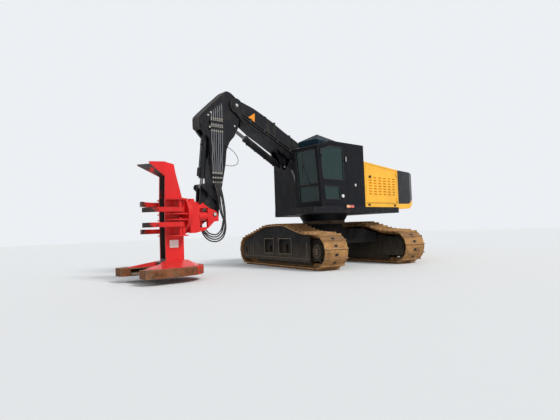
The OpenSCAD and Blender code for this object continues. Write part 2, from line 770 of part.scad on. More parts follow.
function hood_z(x) = hood_front_z + (hood_back_z - hood_front_z)
    * (hood_front - x) / (hood_front - deck_back);
HOOD_SIDE = [[deck_back, deck_top], [hood_front, deck_top], [hood_front, hood_front_z],
    [deck_back, hood_back_z]];
HOOD_ROOM = [[deck_back + hood_wall, deck_top - 5], [hood_front - hood_wall, deck_top - 5],
    [hood_front - hood_wall, hood_z(hood_front - hood_wall) - hood_wall],
    [deck_back + hood_wall, hood_z(deck_back + hood_wall) - hood_wall]];
hood_inner = house_inner + 10;
bay_front = hood_front - 62;
bay_back = deck_back + 55;
bay_low = deck_top + 120;
bay_rim = 45;
BAY = [[bay_back, bay_low], [bay_front, bay_low], [bay_front, hood_z(bay_front) - bay_rim],
    [bay_back, hood_z(bay_back) - bay_rim]];

module engine_hood() {
    color("#f0a81e") in_row() difference() {
        union() {
            across(hood_inner, left_side) polygon(HOOD_SIDE);
            across(-right_side, hood_inner + 1) polygon([[deck_back, deck_top],
                [house_back - 14, deck_top], [house_back - 14, hood_z(house_back - 14)],
                [deck_back, hood_back_z]]);
        }
        across(hood_inner + hood_wall, left_side - hood_wall) polygon(HOOD_ROOM);
        across(-right_side + hood_wall, hood_inner + hood_wall + 1) polygon([
            [deck_back + hood_wall, deck_top - 5], [house_back - 14 - hood_wall, deck_top - 5],
            [house_back - 14 - hood_wall, hood_z(house_back - 14) - hood_wall - 10],
            [deck_back + hood_wall, hood_z(deck_back + hood_wall) - hood_wall]]);
        across(left_side - hood_wall - 5, left_side + 5) polygon(BAY);
    }
    // Hinge pins of the engine door, each between two lugs
    color("#f0a81e") in_row() for (z = BAY_HINGE_Z) {
        translate([bay_back + 4, bay_hinge_y, z - 10])
            cylinder(r = hinge_pin, h = bay_knuckle + 20);
        for (low = [z - 24, z + bay_knuckle + 2]) translate([bay_back + 4, bay_hinge_y, low]) {
            cylinder(r = 12, h = 22);
            translate([-28, -14, 0]) cube([27, 22, 22]);
        }
    }
}
BAY_HINGE_Z = [1800, 2600];
bay_knuckle = 90;
bay_hinge_y = left_side + 13;

// Louvre slots of the engine door, in columns and rows
louvre_cols = 6;
louvre_rows = 7;
louvre_first = -1665;
louvre_last = -350;
louvre_wide = 135;
louvre_tall = 42;
louvre_low = 1980;
louvre_pitch = 80;

module engine_door() {
    color("#f0a81e") in_row() difference() {
        union() {
            across(left_side - hood_wall, left_side) polygon([
                [bay_back + door_gap, bay_low + door_gap], [bay_front - door_gap, bay_low + door_gap],
                [bay_front - door_gap, hood_z(bay_front) - bay_rim - door_gap],
                [bay_back + door_gap, hood_z(bay_back) - bay_rim - door_gap]]);
            for (z = BAY_HINGE_Z) translate([bay_back + 4, bay_hinge_y, z])
                cylinder(r = 12, h = bay_knuckle);
            for (z = BAY_HINGE_Z) translate([bay_back + 8, left_side - 1, z + 5])
                cube([70, 20, 80]);
        }
        for (z = BAY_HINGE_Z) translate([bay_back + 4, bay_hinge_y, z - 1])
            cylinder(r = hinge_pin + pin_gap, h = bay_knuckle + 2);
        for (i = [0:louvre_cols - 1]) for (j = [0:louvre_rows - 1])
            translate([louvre_first + (louvre_last - louvre_first - louvre_wide) * i
                / (louvre_cols - 1), left_side - hood_wall - 5, louvre_low + louvre_pitch * j])
                cube([louvre_wide, hood_wall + 10, louvre_tall]);
    }
}

engine_long = 1300;
engine_wide = 1050;
engine_high = 880;

module engine_block() {
    color("#3a3a3c") in_row() translate([hood_front - 140 - engine_long, -330, deck_top + seat_gap])
        cube([engine_long, engine_wide, engine_high]);
}

module counterweight() {
    back = deck_back - seat_gap;
    band = 156;
    module body(side) {
        intersection() {
            translate([0, 0, deck_low]) linear_extrude(height = 1400) polygon([
                [back, -right_side], [back, left_side - 10], [-2700, left_side - 120],
                [tail_x + 90, tail_half + 60], [tail_x, tail_half - 60],
                [tail_x, -tail_half + 60], [tail_x + 90, -tail_half - 60],
                [-2700, -right_side + 120]]);
            across(-right_side, left_side) polygon(side);
        }
    }
    color("#17181a") in_row() body([[back, 1580 + band], [-2600, 1600 + band],
        [tail_x, 1790 + band], [tail_x, 2690], [tail_x + 85, 2770], [back, 2785]]);
    color("#f0a81e") in_row() body([[back, 1580], [-2600, 1600], [tail_x, 1790],
        [tail_x, 1790 + band + 1], [-2600, 1600 + band + 1], [back, 1580 + band + 1]]);
}

module door_lamp() {
    color("white") in_row() {
        translate([light_back - 106, left_side + seat_gap, (light_low + light_high) / 2 - 82])
            rotate([-90, 0, 0]) cylinder(r = 45, h = 30);
    }
}

// Boom: outline as [ahead, height], upper edge from the foot, then the lower edge back
BOOM = [foot + [-150, 140], foot + [180, 460], [1225, 3519], [1762, 3772], [2204, 4021],
    [2628, 4210], nose + [-516, 23], nose + [-156, 120], nose + [89, 160], nose + [169, 50],
    nose + [169, -80], nose + [49, -175], nose + [-61, -270], nose + [-251, -380], [2750, 3650],
    [2344, 3450], [1947, 3242], [1690, 3110], [1100, 2830], foot + [410, -70], foot + [130, -150],
    foot + [-90, -150]];
// Lifting lugs on the upper edge, as [ahead, height]
TOP_LUGS = [[1240, 3527], [1900, 3850]];

module boom() {
    color("#1c1c1e") in_row() difference() {
        union() {
            across(-boom_half, boom_half) difference() {
                polygon(BOOM);
                translate(foot) circle(r = main_pin + pin_gap);
            }
            across(-boom_half, boom_half) translate(nose) circle(r = 190);
            // Raised rims round the foot's and the nose's pins
            both_sides() across(boom_half - 1, boom_half + 12) {
                difference() {
                    translate(nose) circle(r = 120);
                    translate(nose) circle(r = main_pin);
                }
            }
            // Lugs of the stick cylinder below the boom
            both_sides() across(reach_r + side_gap + 10, reach_r + side_gap + 50)
                polygon([[1450, 3040], [2000, 3300], [reach_base[0] + 95, reach_base[1] - 20],
                    [reach_base[0] + 40, reach_base[1] - 85], [reach_base[0] - 50, reach_base[1] - 80],
                    [reach_base[0] - 95, reach_base[1]]]);
            for (at = TOP_LUGS) translate([at[0] - 40, -60, at[1] - 60]) cube([80, 120, 110]);
            // Bosses that face the boom cylinders' upper eyes
            both_sides() pin_across(lift_eye, 70, boom_half - 1,
                lift_side - lift_eye_half - side_gap);
        }
        // Groove under the boom for the stick cylinder
        along(reach_base, reach_eye) translate([-reach_r - 36, -reach_r - side_gap - 9, -130])
            cube([600, 2 * (reach_r + side_gap + 9), reach_len + 130]);
        // Fork for the stick's head
        across(-fork_in, fork_in) {
            translate(nose) circle(r = 330, $fn = many);
            polygon([nose + [-245, -100], nose + [-245, 100], nose + [600, 500], nose + [600, -900],
                nose + [-385, -900], nose + [-385, -480]]);
        }
    }
    color("silver") in_row() {
        pin_across(nose, main_pin, -boom_half - 14, boom_half + 14);
        pin_across(reach_base, 42, -reach_r - side_gap - 62, reach_r + side_gap + 62);
    }
}

// Hard pipes along the boom's sides, held in clamps
pipe_r = 15;
PIPE_DROPS = [0, 70];
pipe_from = [1300, 3226];
pipe_to = [3180, 4076];
pipe_clamps = 4;

module boom_pipes() {
    run = gap_between(pipe_from, pipe_to);
    color("#2a2a2c") in_row() both_sides()
        along(pipe_from, pipe_to, boom_half + seat_gap + pipe_r) {
            for (drop = PIPE_DROPS) translate([drop, 0, 0]) cylinder(r = pipe_r, h = run);
            for (i = [0:pipe_clamps - 1]) translate([-24, -pipe_r, (i + 0.5) * run / pipe_clamps - 20])
                cube([PIPE_DROPS[1] + 48, 2 * pipe_r + 6, 40]);
        }
}

// A cylinder's barrel: eye at the origin, gland at len; bored for its rod
barrel_foot = 38;

module barrel(r, inner, len, eye_r, pin_r, half) {
    difference() {
        union() {
            translate([0, 0, eye_r + barrel_foot]) cylinder(r = r, h = len - eye_r - barrel_foot);
            cylinder(r = min(r, half), h = eye_r + barrel_foot + 1);
            translate([0, 0, len - 60]) cylinder(r = r + 12, h = 60);
            rotate([90, 0, 0]) cylinder(r = eye_r, h = 2 * half, center = true);
        }
        rotate([90, 0, 0]) cylinder(r = pin_r + pin_gap, h = 2 * half + 2, center = true);
        translate([0, 0, eye_r + 2 * barrel_foot]) cylinder(r = inner + pin_gap, h = len);
    }
}

// A rod from inside its barrel to the eye at the far pin
module rod(r, inner_end, len, eye_r, half) {
    translate([0, 0, inner_end]) cylinder(r = r, h = len - inner_end);
    translate([0, 0, len]) rotate([90, 0, 0]) cylinder(r = eye_r, h = 2 * half, center = true);
}

lift_len = gap_between(lift_base, lift_eye);
reach_len = gap_between(reach_base, reach_eye);
tilt_len = gap_between(tilt_base, link_pin);

module boom_cylinder_barrels() {
    color("#202022") in_row() for (side = [-1, 1]) along(lift_base, lift_eye, side * lift_side)
        barrel(lift_r, rod_r, 850, 70, 38, lift_eye_half);
}

module boom_cylinder_rods() {
    color("silver") in_row() for (side = [-1, 1]) along(lift_base, lift_eye, side * lift_side)
        rod(rod_r, 490, lift_len, 66, lift_eye_half);
}

module stick_cylinder_barrel() {
    color("#202022") in_row() along(reach_base, reach_eye) {
        barrel(reach_r, rod_r, 1450, 92, 42, reach_r + 8);
        // Thin pipe under the barrel in its clamps
        translate([reach_r + 20, 0, 200]) cylinder(r = 13, h = 1160);
        for (z = [260, 620, 980, 1290]) translate([reach_r - 12, -22, z]) cube([50, 44, 36]);
    }
}

module stick_cylinder_rod() {
    color("silver") in_row() along(reach_base, reach_eye)
        rod(rod_r, 600, reach_len, 68, eye_half);
}

// Stick: outline as [ahead, height], from its head round to its rear edge
STICK = [nose + [-91, 140], nose + [79, 200], nose + [229, 150], tilt_base + [-72, 382],
    tilt_base + [118, 272], tilt_base + [260, 72], tilt_base + [188, -82], tilt_base + [-8, -285],
    [4200, 2998], [4185, 2600], [4175, 2330], guide_pin + [133, 50], wrist + [35, 210],
    wrist + [145, 90], wrist + [165, -50], wrist + [70, -160], wrist + [-70, -160],
    wrist + [-170, -50], wrist + [-190, 130], [3900, 2100], [3755, 2728], [3708, 3110],
    [3600, 3326], reach_eye + [1, -250], reach_eye + [-48, -132], reach_eye + [-109, -55],
    nose + [-161, -80]];
// Guard plate over the hoses at the stick's head, as [ahead, height]
HOSE_GUARD = [nose + [59, 240], nose + [169, 320], nose + [300, 295], tilt_base + [-142, 612],
    tilt_base + [230, 262], tilt_base + [262, 212], tilt_base + [262, -18],
    tilt_base + [188, -30], tilt_base + [188, 32], tilt_base + [68, 232],
    tilt_base + [-112, 372], nose + [209, 120], nose + [59, 160]];
hose_guard_half = 150;

module stick() {
    color("#1c1c1e") in_row() difference() {
        union() {
            across(-stick_half, stick_half) difference() {
                polygon(STICK);
                translate(nose) circle(r = main_pin + pin_gap);
                translate(wrist) circle(r = main_pin + pin_gap);
            }
            across(-hose_guard_half, hose_guard_half) polygon(HOSE_GUARD);
            pin_across(guide_pin, 38, -boss_end - 6, boss_end + 6);
        }
        // Clevis for the stick cylinder's rod
        across(-lug_in, lug_in) {
            translate(reach_eye + [20, -55]) circle(r = 195, $fn = many);
            polygon([reach_eye + [-600, -500], reach_eye + [60, -500], reach_eye + [170, -170],
                reach_eye + [150, 60], reach_eye + [80, 120], reach_eye + [-600, 440]]);
        }
        // Slot for the tilt cylinder's eye
        across(-tilt_r - 18, tilt_r + 18)
            polygon([tilt_base + [-92, 132], tilt_base + [198, 202],
                tilt_base + [198, -748], tilt_base + [-62, -748], tilt_base + [-102, -228]]);
    }
    color("silver") in_row() pin_across(tilt_base, 36, -stick_half - 20, stick_half + 20);
}

hose_rows = 6;

module stick_hoses() {
    color("#0f0f10") in_row() for (i = [0:hose_rows - 1]) {
        x = 3740 + i * 56;
        across(stick_half + seat_gap, stick_half + 32) polygon([[x - 20, 3900], [x + 14, 3900],
            [x + 40, 3000], [x + 134, 2400], [x + 100, 2400], [x + 6, 3000]]);
    }
}

module tilt_cylinder_barrel() {
    color("#202022") in_row() along(tilt_base, link_pin)
        barrel(tilt_r, tilt_rod_r, 1250, 66, 36, tilt_r + 10);
}

module tilt_cylinder_rod() {
    color("silver") in_row() along(tilt_base, link_pin) rod(tilt_rod_r, 420, tilt_len, 62, eye_half);
}

module bar(a, b, r_a, r_b, low, high) {
    across(low, high) hull() {
        translate(a) circle(r = r_a, $fn = 32);
        translate(b) circle(r = r_b, $fn = 32);
    }
}

module idler_links() {
    color("#1c1c1e") in_row() both_sides() difference() {
        bar(link_pin, guide_pin, 80, 74, fork_in, boss_end - 8);
        pin_across(guide_pin, 38 + pin_gap, fork_in - 1, boss_end);
    }
}

module power_link() {
    color("#1c1c1e") in_row() {
        both_sides() difference() {
            bar(link_pin, head_lug, 74, 74, lug_in, lug_out);
            pin_across(head_lug, 36 + pin_gap, lug_in - 1, lug_out + 1);
        }
    }
}

cheek_out = fork_in + 75;
flange_back = ring_plane - 60;
web_half = 106;
// Cheek plate of the wrist bracket, as [ahead, height]
CHEEK = [[4070, 1330], [4070, 1430], [4105, 1545], [4180, 1590], [4331, 1640], [4491, 1747],
    [4692, 1712], [4757, 1858], [flange_back + 1, 1858], [flange_back + 1, 1060], [4736, 1058],
    [4461, 1111], [4334, 1193], [4200, 1315]];
// Window beside the middle web, as [from, to, low, high], and the drum seen in it
BRACKET_WINDOW = [4373, 4604, 1190, 1640];
drum_r = 100;
drum_side = 165;

// Bracket between the stick and the head's slewing plate
module wrist_bracket() {
    color("#d8232a") in_row() {
        both_sides() across(fork_in, cheek_out) difference() {
            polygon(CHEEK);
            side_opening(BRACKET_WINDOW);
        }
        // Web ahead of the stick's end, with the power link's lug
        across(-web_half, web_half) polygon([wrist + [270, -300], wrist + [270, 120],
            wrist + [420, 300], [flange_back + 1, 1800], [flange_back + 1, 1150]]);
        across(-fork_in - 1, fork_in + 1) polygon([[BRACKET_WINDOW[1], 1130],
            [BRACKET_WINDOW[1], 1740], [flange_back + 1, 1800], [flange_back + 1, 1090]]);
        across(-eye_half, eye_half) union() {
            translate(head_lug) circle(r = 80);
            polygon([head_lug + [-60, -80], head_lug + [60, -300], wrist + [440, 250],
                head_lug + [40, 70]]);
        }
        for (s = [-1, 1]) translate([BRACKET_WINDOW[0] + 12, s * drum_side, 1450])
            rotate([0, 90, 0]) cylinder(r = drum_r, h = BRACKET_WINDOW[1] - BRACKET_WINDOW[0]);
        translate([flange_back, 0, ring_z]) rotate([0, 90, 0])
            cylinder(r = ring_r - 20, h = ring_plane - flange_back, $fn = many);
    }
    color("silver") in_row() {
        translate([ring_plane - 1, 0, ring_z]) rotate([0, 90, 0])
            cylinder(r = roll_shaft, h = 56, $fn = many);
        pin_across(wrist, main_pin, -cheek_out - 12, cheek_out + 12);
        pin_across(head_lug, 36, -lug_out - 8, lug_out + 8);
    }
}

// Head: the tower carries the slewing plate, the shelves with the arms, and the housing
ring_front = ring_plane + side_gap;
ring_thick = 60;
roll_shaft = 150;
tower_back = ring_front + ring_thick - 1;
skirt_low = rim_height + seat_gap;
skirt_top = 460;
shelf_thick = 28;
SHELF_Z = [1000, 1360, 1490, tower_top - shelf_thick];
arm_x = 5170;
arm_y = 330;
arm_pin = 38;
arm_hub = 85;
pocket_back = 5190;
pocket_half = tower_half - 32;
// The red skirt's foot on the housing and its top at the tower, in plan
SKIRT_FOOT = [[4690, -300], [4990, -640], [5400, -780], [5900, -760], [6120, -480], [6120, 480],
    [5900, 760], [5400, 780], [4990, 640], [4690, 300]];
SKIRT_TOP = [[tower_back, -300], [5130, -330], [tower_front, -200], [tower_front, 200],
    [5130, 330], [tower_back, 300]];
SHELF = [[tower_back, -300], [tower_back + 45, -arm_y - 100], [arm_x + 120, -arm_y - 100],
    [arm_x + 220, -arm_y], [tower_front, -tower_half], [tower_front, tower_half],
    [arm_x + 220, arm_y], [arm_x + 120, arm_y + 100], [tower_back + 45, arm_y + 100],
    [tower_back, 300]];

// An arm's height in its bay: two arms share a bay with equal gaps, place 0 or 1
function arm_low(floor_z, roof_z, place) =
    let (room = roof_z - floor_z - shelf_thick, gap = (room - 2 * arm_thick) / 3)
    floor_z + shelf_thick + gap + place * (arm_thick + gap);

module head_tower() {
    color("#d8232a") in_row() {
        translate([ring_front, 0, ring_z]) rotate([0, 90, 0]) difference() {
            cylinder(r = ring_r, h = ring_thick, $fn = many);
            translate([0, 0, -1]) cylinder(r = roll_shaft + pin_gap, h = ring_thick - 3, $fn = many);
        }
        // Column with its trunk pocket, open at the front, and the shelves round it
        difference() {
            union() {
                translate([tower_back, -tower_half, skirt_top - 1])
                    cube([tower_front - tower_back, 2 * tower_half, tower_top - skirt_top + 1]);
                for (z = SHELF_Z) translate([0, 0, z]) linear_extrude(height = shelf_thick)
                    polygon(SHELF);
                // Gussets between the slewing plate and the shelves
                for (s = [-1, 1]) translate([tower_back, s * 220 - 12, SHELF_Z[0] + 1])
                    cube([70, 24, tower_top - SHELF_Z[0] - 2]);
            }
            translate([pocket_back, -pocket_half, skirt_top + 40])
                cube([tower_front, 2 * pocket_half, tower_top]);
        }
        // Skirt that spreads from the tower's foot over the housing
        difference() {
            hull() {
                translate([0, 0, skirt_low]) linear_extrude(height = 1) polygon(SKIRT_FOOT);
                translate([0, 0, skirt_top - 1]) linear_extrude(height = 1) polygon(SKIRT_TOP);
            }
            mouth(0, 700);
        }
    }
    color("silver") in_row() for (s = [-1, 1]) for (pair = [[0, 1], [2, 3]])
        translate([arm_x, s * arm_y, SHELF_Z[pair[0]] - 10])
            cylinder(r = arm_pin, h = SHELF_Z[pair[1]] - SHELF_Z[pair[0]] + shelf_thick + 20);
}

// The curved arms in plan, closed round the trunk's place
ARM = [[arm_x, arm_y + arm_hub], [arm_x + 30, arm_y + 82], [arm_x + 390, arm_y + 90],
    [arm_x + 690, arm_y - 80], [arm_x + 765, 0], [arm_x + 690, 60], [arm_x + 570, 190],
    [arm_x + 370, arm_y - 30], [arm_x + 70, arm_y - 80], [arm_x, arm_y - arm_hub]];

module arm(z) {
    translate([0, 0, z]) difference() {
        union() {
            translate([arm_x, arm_y, 0]) cylinder(r = arm_hub, h = arm_thick);
            linear_extrude(height = arm_thick) polygon(ARM);
        }
        translate([arm_x, arm_y, -1]) cylinder(r = arm_pin + pin_gap, h = arm_thick + 2);
    }
}

module upper_arm_left() {
    color("#b3262a") in_row() arm(arm_low(SHELF_Z[2], SHELF_Z[3], 0));
}

module upper_arm_right() {
    color("#b3262a") in_row() mirror([0, 1, 0]) arm(arm_low(SHELF_Z[2], SHELF_Z[3], 1));
}

module lower_arm_left() {
    color("#b3262a") in_row() arm(arm_low(SHELF_Z[0], SHELF_Z[1], 1));
}

module lower_arm_right() {
    color("#b3262a") in_row() mirror([0, 1, 0]) arm(arm_low(SHELF_Z[0], SHELF_Z[1], 0));
}

// Saw housing: open at the front and hollow for the saw
floor_thick = 25;
cavity_low = rim_low + floor_thick;
roof_low = rim_height - 30;
disc_low = rim_low + 50;
prong_side = housing_r - 120;
MOUTH = [[5560, -170], [5560, 170], [5720, 330], [6400, 480], [6400, -480], [5720, -330]];

module mouth(low, high) {
    translate([0, 0, low]) linear_extrude(height = high - low) polygon(MOUTH);
}

module saw_housing() {
    color("#8a4a24") in_row() difference() {
        translate([0, 0, rim_low]) linear_extrude(height = rim_height - rim_low) {
            translate([saw_x, 0]) circle(r = housing_r, $fn = many);
            polygon([[saw_x + 100, -housing_r + 8], [prong_reach - 290, -housing_r + 25],
                [prong_reach, -prong_side], [prong_reach, prong_side],
                [prong_reach - 290, housing_r - 25], [saw_x + 100, housing_r - 8]]);
        }
        translate([saw_x, 0, cavity_low])
            cylinder(r = saw_r + 25, h = roof_low - cavity_low, $fn = many);
        mouth(-1, 700);
        translate([saw_x, 0, 0]) cylinder(r = 300, h = cavity_low + 1, $fn = many);
    }
    // Spindle of the saw
    color("silver") in_row() translate([saw_x, 0, disc_low - 20])
        cylinder(r = spindle_r, h = roof_low - disc_low + 30);
}
spindle_r = 60;

module saw_disc() {
    step = 360 / tooth_count;
    root = saw_r - 70;
    color("#6b5a4a") in_row() translate([saw_x, 0, disc_low]) difference() {
        union() {
            linear_extrude(height = saw_thick) polygon([for (i = [0:tooth_count - 1])
                for (f = [[0, root], [0.45, root], [0.5, saw_r], [0.78, saw_r - 6], [0.9, root]])
                f[1] * [cos((i + f[0]) * step), sin((i + f[0]) * step)]]);
            cylinder(r = 170, h = roof_low - disc_low - 4, $fn = many);
        }
        translate([0, 0, -1]) cylinder(r = spindle_r + pin_gap, h = roof_low);
    }
}

// Horn above the tower: two side plates, a sloped back plate and wings that open forward
horn_low = tower_top + seat_gap;
HORN_SIDE = [[4995, horn_low], [5443, horn_low], [5425, 2370], [5444, horn_top],
    [5196, horn_top - 50], [5156, 2445]];
HORN_BACK = [[5000, horn_low], [5034, horn_low], [5186, 2440], [5226, horn_top - 60],
    [5196, horn_top - 60], [5156, 2440]];
HORN_WING = [[-20, 2370], [0, 2370], [480, 2620], [480, 2650], [0, horn_top], [-20, horn_top]];

module head_horn() {
    color("#d8232a") in_row() {
        both_sides() across(tower_half - 28, tower_half) polygon(HORN_SIDE);
        across(-tower_half + 27, tower_half - 27) polygon(HORN_BACK);
        translate([4995, -tower_half, horn_low]) difference() {
            cube([448, 2 * tower_half, 28]);
            translate([pocket_back - 4995, tower_half - pocket_half, -1])
                cube([448, 2 * pocket_half, 30]);
        }
        both_sides() translate([5430, tower_half - 14, 0]) rotate([0, 0, 20])
            across(-13, 13) polygon(HORN_WING);
    }
}

carbody();
track_frame_left();
track_frame_right();
track_left();
track_right();
track_rollers();
idlers();
sprockets();
final_drives();
slewing_ring();
turntable();
cab_shell();
cab_glass();
cab_door();
cab_door_glass();
operator_seat();
roof_window();
side_house();
engine_hood();
engine_door();
engine_block();
counterweight();
door_lamp();
boom();
boom_pipes();
boom_cylinder_barrels();
boom_cylinder_rods();
stick_cylinder_barrel();
stick_cylinder_rod();
stick();
stick_hoses();
tilt_cylinder_barrel();
tilt_cylinder_rod();
idler_links();
power_link();
wrist_bracket();
saw_housing();
head_tower();
head_horn();
saw_disc();
upper_arm_left();
upper_arm_right();
lower_arm_left();
lower_arm_right();
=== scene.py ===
"""Looks of a tracked feller buncher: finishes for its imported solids, small fittings, stage and camera."""

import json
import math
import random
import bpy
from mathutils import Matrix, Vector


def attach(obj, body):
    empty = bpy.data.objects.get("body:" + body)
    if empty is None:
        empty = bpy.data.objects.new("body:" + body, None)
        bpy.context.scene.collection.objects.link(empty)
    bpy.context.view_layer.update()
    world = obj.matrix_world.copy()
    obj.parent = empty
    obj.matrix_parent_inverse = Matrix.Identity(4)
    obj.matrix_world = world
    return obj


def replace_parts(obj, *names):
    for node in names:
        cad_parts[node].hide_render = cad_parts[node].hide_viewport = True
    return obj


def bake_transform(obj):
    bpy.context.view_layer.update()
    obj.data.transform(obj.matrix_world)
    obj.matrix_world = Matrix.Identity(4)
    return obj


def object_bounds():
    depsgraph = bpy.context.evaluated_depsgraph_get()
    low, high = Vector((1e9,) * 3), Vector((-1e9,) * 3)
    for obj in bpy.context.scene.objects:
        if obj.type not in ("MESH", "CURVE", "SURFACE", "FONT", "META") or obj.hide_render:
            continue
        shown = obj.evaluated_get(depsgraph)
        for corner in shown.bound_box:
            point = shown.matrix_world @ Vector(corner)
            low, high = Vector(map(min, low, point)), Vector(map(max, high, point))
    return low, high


bl_info = {
    "name": "Feller buncher looks",
    "version": (1, 0, 0),
    "blender": (4, 5, 0),
    "location": "3D View > Sidebar > Feller buncher",
    "description": "Finishes, fittings, stage and camera for a tracked feller buncher",
    "category": "Object",
}

import bmesh
import bpy
from mathutils import Matrix, Vector

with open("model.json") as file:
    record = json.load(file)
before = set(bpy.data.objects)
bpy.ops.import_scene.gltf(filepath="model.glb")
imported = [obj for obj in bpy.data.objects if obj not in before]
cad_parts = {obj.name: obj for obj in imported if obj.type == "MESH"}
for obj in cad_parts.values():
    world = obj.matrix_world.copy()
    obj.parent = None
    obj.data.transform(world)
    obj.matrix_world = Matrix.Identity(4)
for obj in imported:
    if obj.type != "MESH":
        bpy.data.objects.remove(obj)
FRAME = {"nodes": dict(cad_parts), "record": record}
CAD_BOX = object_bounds()

# The frame's origin is in the middle of the whole machine, and its swing centre lies at this X.
SWING_X = -1.495
# The undercarriage stands turned under the deck, each track this far from its middle.
TRACK_HEADING = math.radians(-102.3)
TRACK_SIDE = 1.355


def ahead(x, y, z):
    """A point given from the swing centre, in the frame."""
    return Vector((x + SWING_X, y, z))


def along_track(x, y, z):
    """A point given along and across the undercarriage, in the frame."""
    c, s = math.cos(TRACK_HEADING), math.sin(TRACK_HEADING)
    return Vector((x * c - y * s + SWING_X, x * s + y * c, z))


def at_track(side, x, out, z):
    """A point beside a track: x along it, out from its middle away from the machine."""
    return along_track(x, side * (TRACK_SIDE + out), z)


def shade(r, g, b):
    """A colour written as it shows on a screen, 0 to 255, as linear light."""
    linear = (v / 255 / 12.92 if v <= 10 else ((v / 255 + 0.055) / 1.055) ** 2.4 for v in (r, g, b))
    return (*linear, 1.0)


def lit(colour, factor, lift=0.0):
    """A colour made darker or lighter."""
    return tuple(min(1.0, v * factor + lift) for v in colour[:3]) + (1.0,)


# Settings


def colour_setting(label, what, value):
    return bpy.props.FloatVectorProperty(
        name=label, description=what, default=value, subtype="COLOR", size=4, min=0, max=1
    )


def length_setting(label, what, value, least):
    return bpy.props.FloatProperty(name=label, description=what, default=value, min=least, unit="LENGTH")


def strength_setting(label, what, value):
    return bpy.props.FloatProperty(name=label, description=what, default=value, min=0)


class BuncherPaint(bpy.types.PropertyGroup):
    black: colour_setting("Black paint", "Paint of the cab, deck and boom", shade(11, 12, 19))
    yellow: colour_setting("Yellow paint", "Paint of the engine hood", shade(250, 184, 52))
    red: colour_setting("Red paint", "Paint of the felling head", shade(224, 38, 36))
    rust: colour_setting("Worn steel", "Bare steel of the track shoes", shade(184, 136, 82))
    dust: colour_setting("Dust", "Dry soil on upward faces", shade(134, 116, 92))
    glass: colour_setting("Window tint", "Tint of the cab's panes", shade(24, 64, 62))
    chip: colour_setting("Chipped edge", "Steel that shows at worn edges", shade(92, 84, 78))


class BuncherSizes(bpy.types.PropertyGroup):
    hose: length_setting("Hose", "Outer diameter of the working hoses", 0.034, 0.01)
    mud_hole: length_setting("Mud hole", "Width of the hole in each track shoe", 0.088, 0.01)
    seal: length_setting("Window seal", "Thickness of the rubber round the panes", 0.018, 0.004)


class BuncherStage(bpy.types.PropertyGroup):
    floor: colour_setting("Floor", "Colour of the plain floor", shade(226, 226, 224))
    key: strength_setting("Key light", "Strength of the main lamp", 2.3)
    fill: strength_setting("Fill light", "Strength of the fill lamp", 0.5)
    sky: strength_setting("Sky", "Strength of the even light from all round", 0.5)


# Shader building

MATERIALS = {}
BLACK = (0.0, 0.0, 0.0, 1.0)
TRODDEN_MUD = shade(92, 68, 50)
BRIGHT_STEEL = shade(176, 160, 144)
# How alike the flat and the rounded normal are where an edge's wear starts, and where it is whole
EDGE_START, EDGE_WHOLE = 0.985, 0.8
# Every finish with a relief shows its edges rounded to this radius
SOFT_EDGE = 0.006
# Splashed soil is thickest up to the first height and ends at the second
SOIL_THICK, SOIL_END = 0.05, 0.75


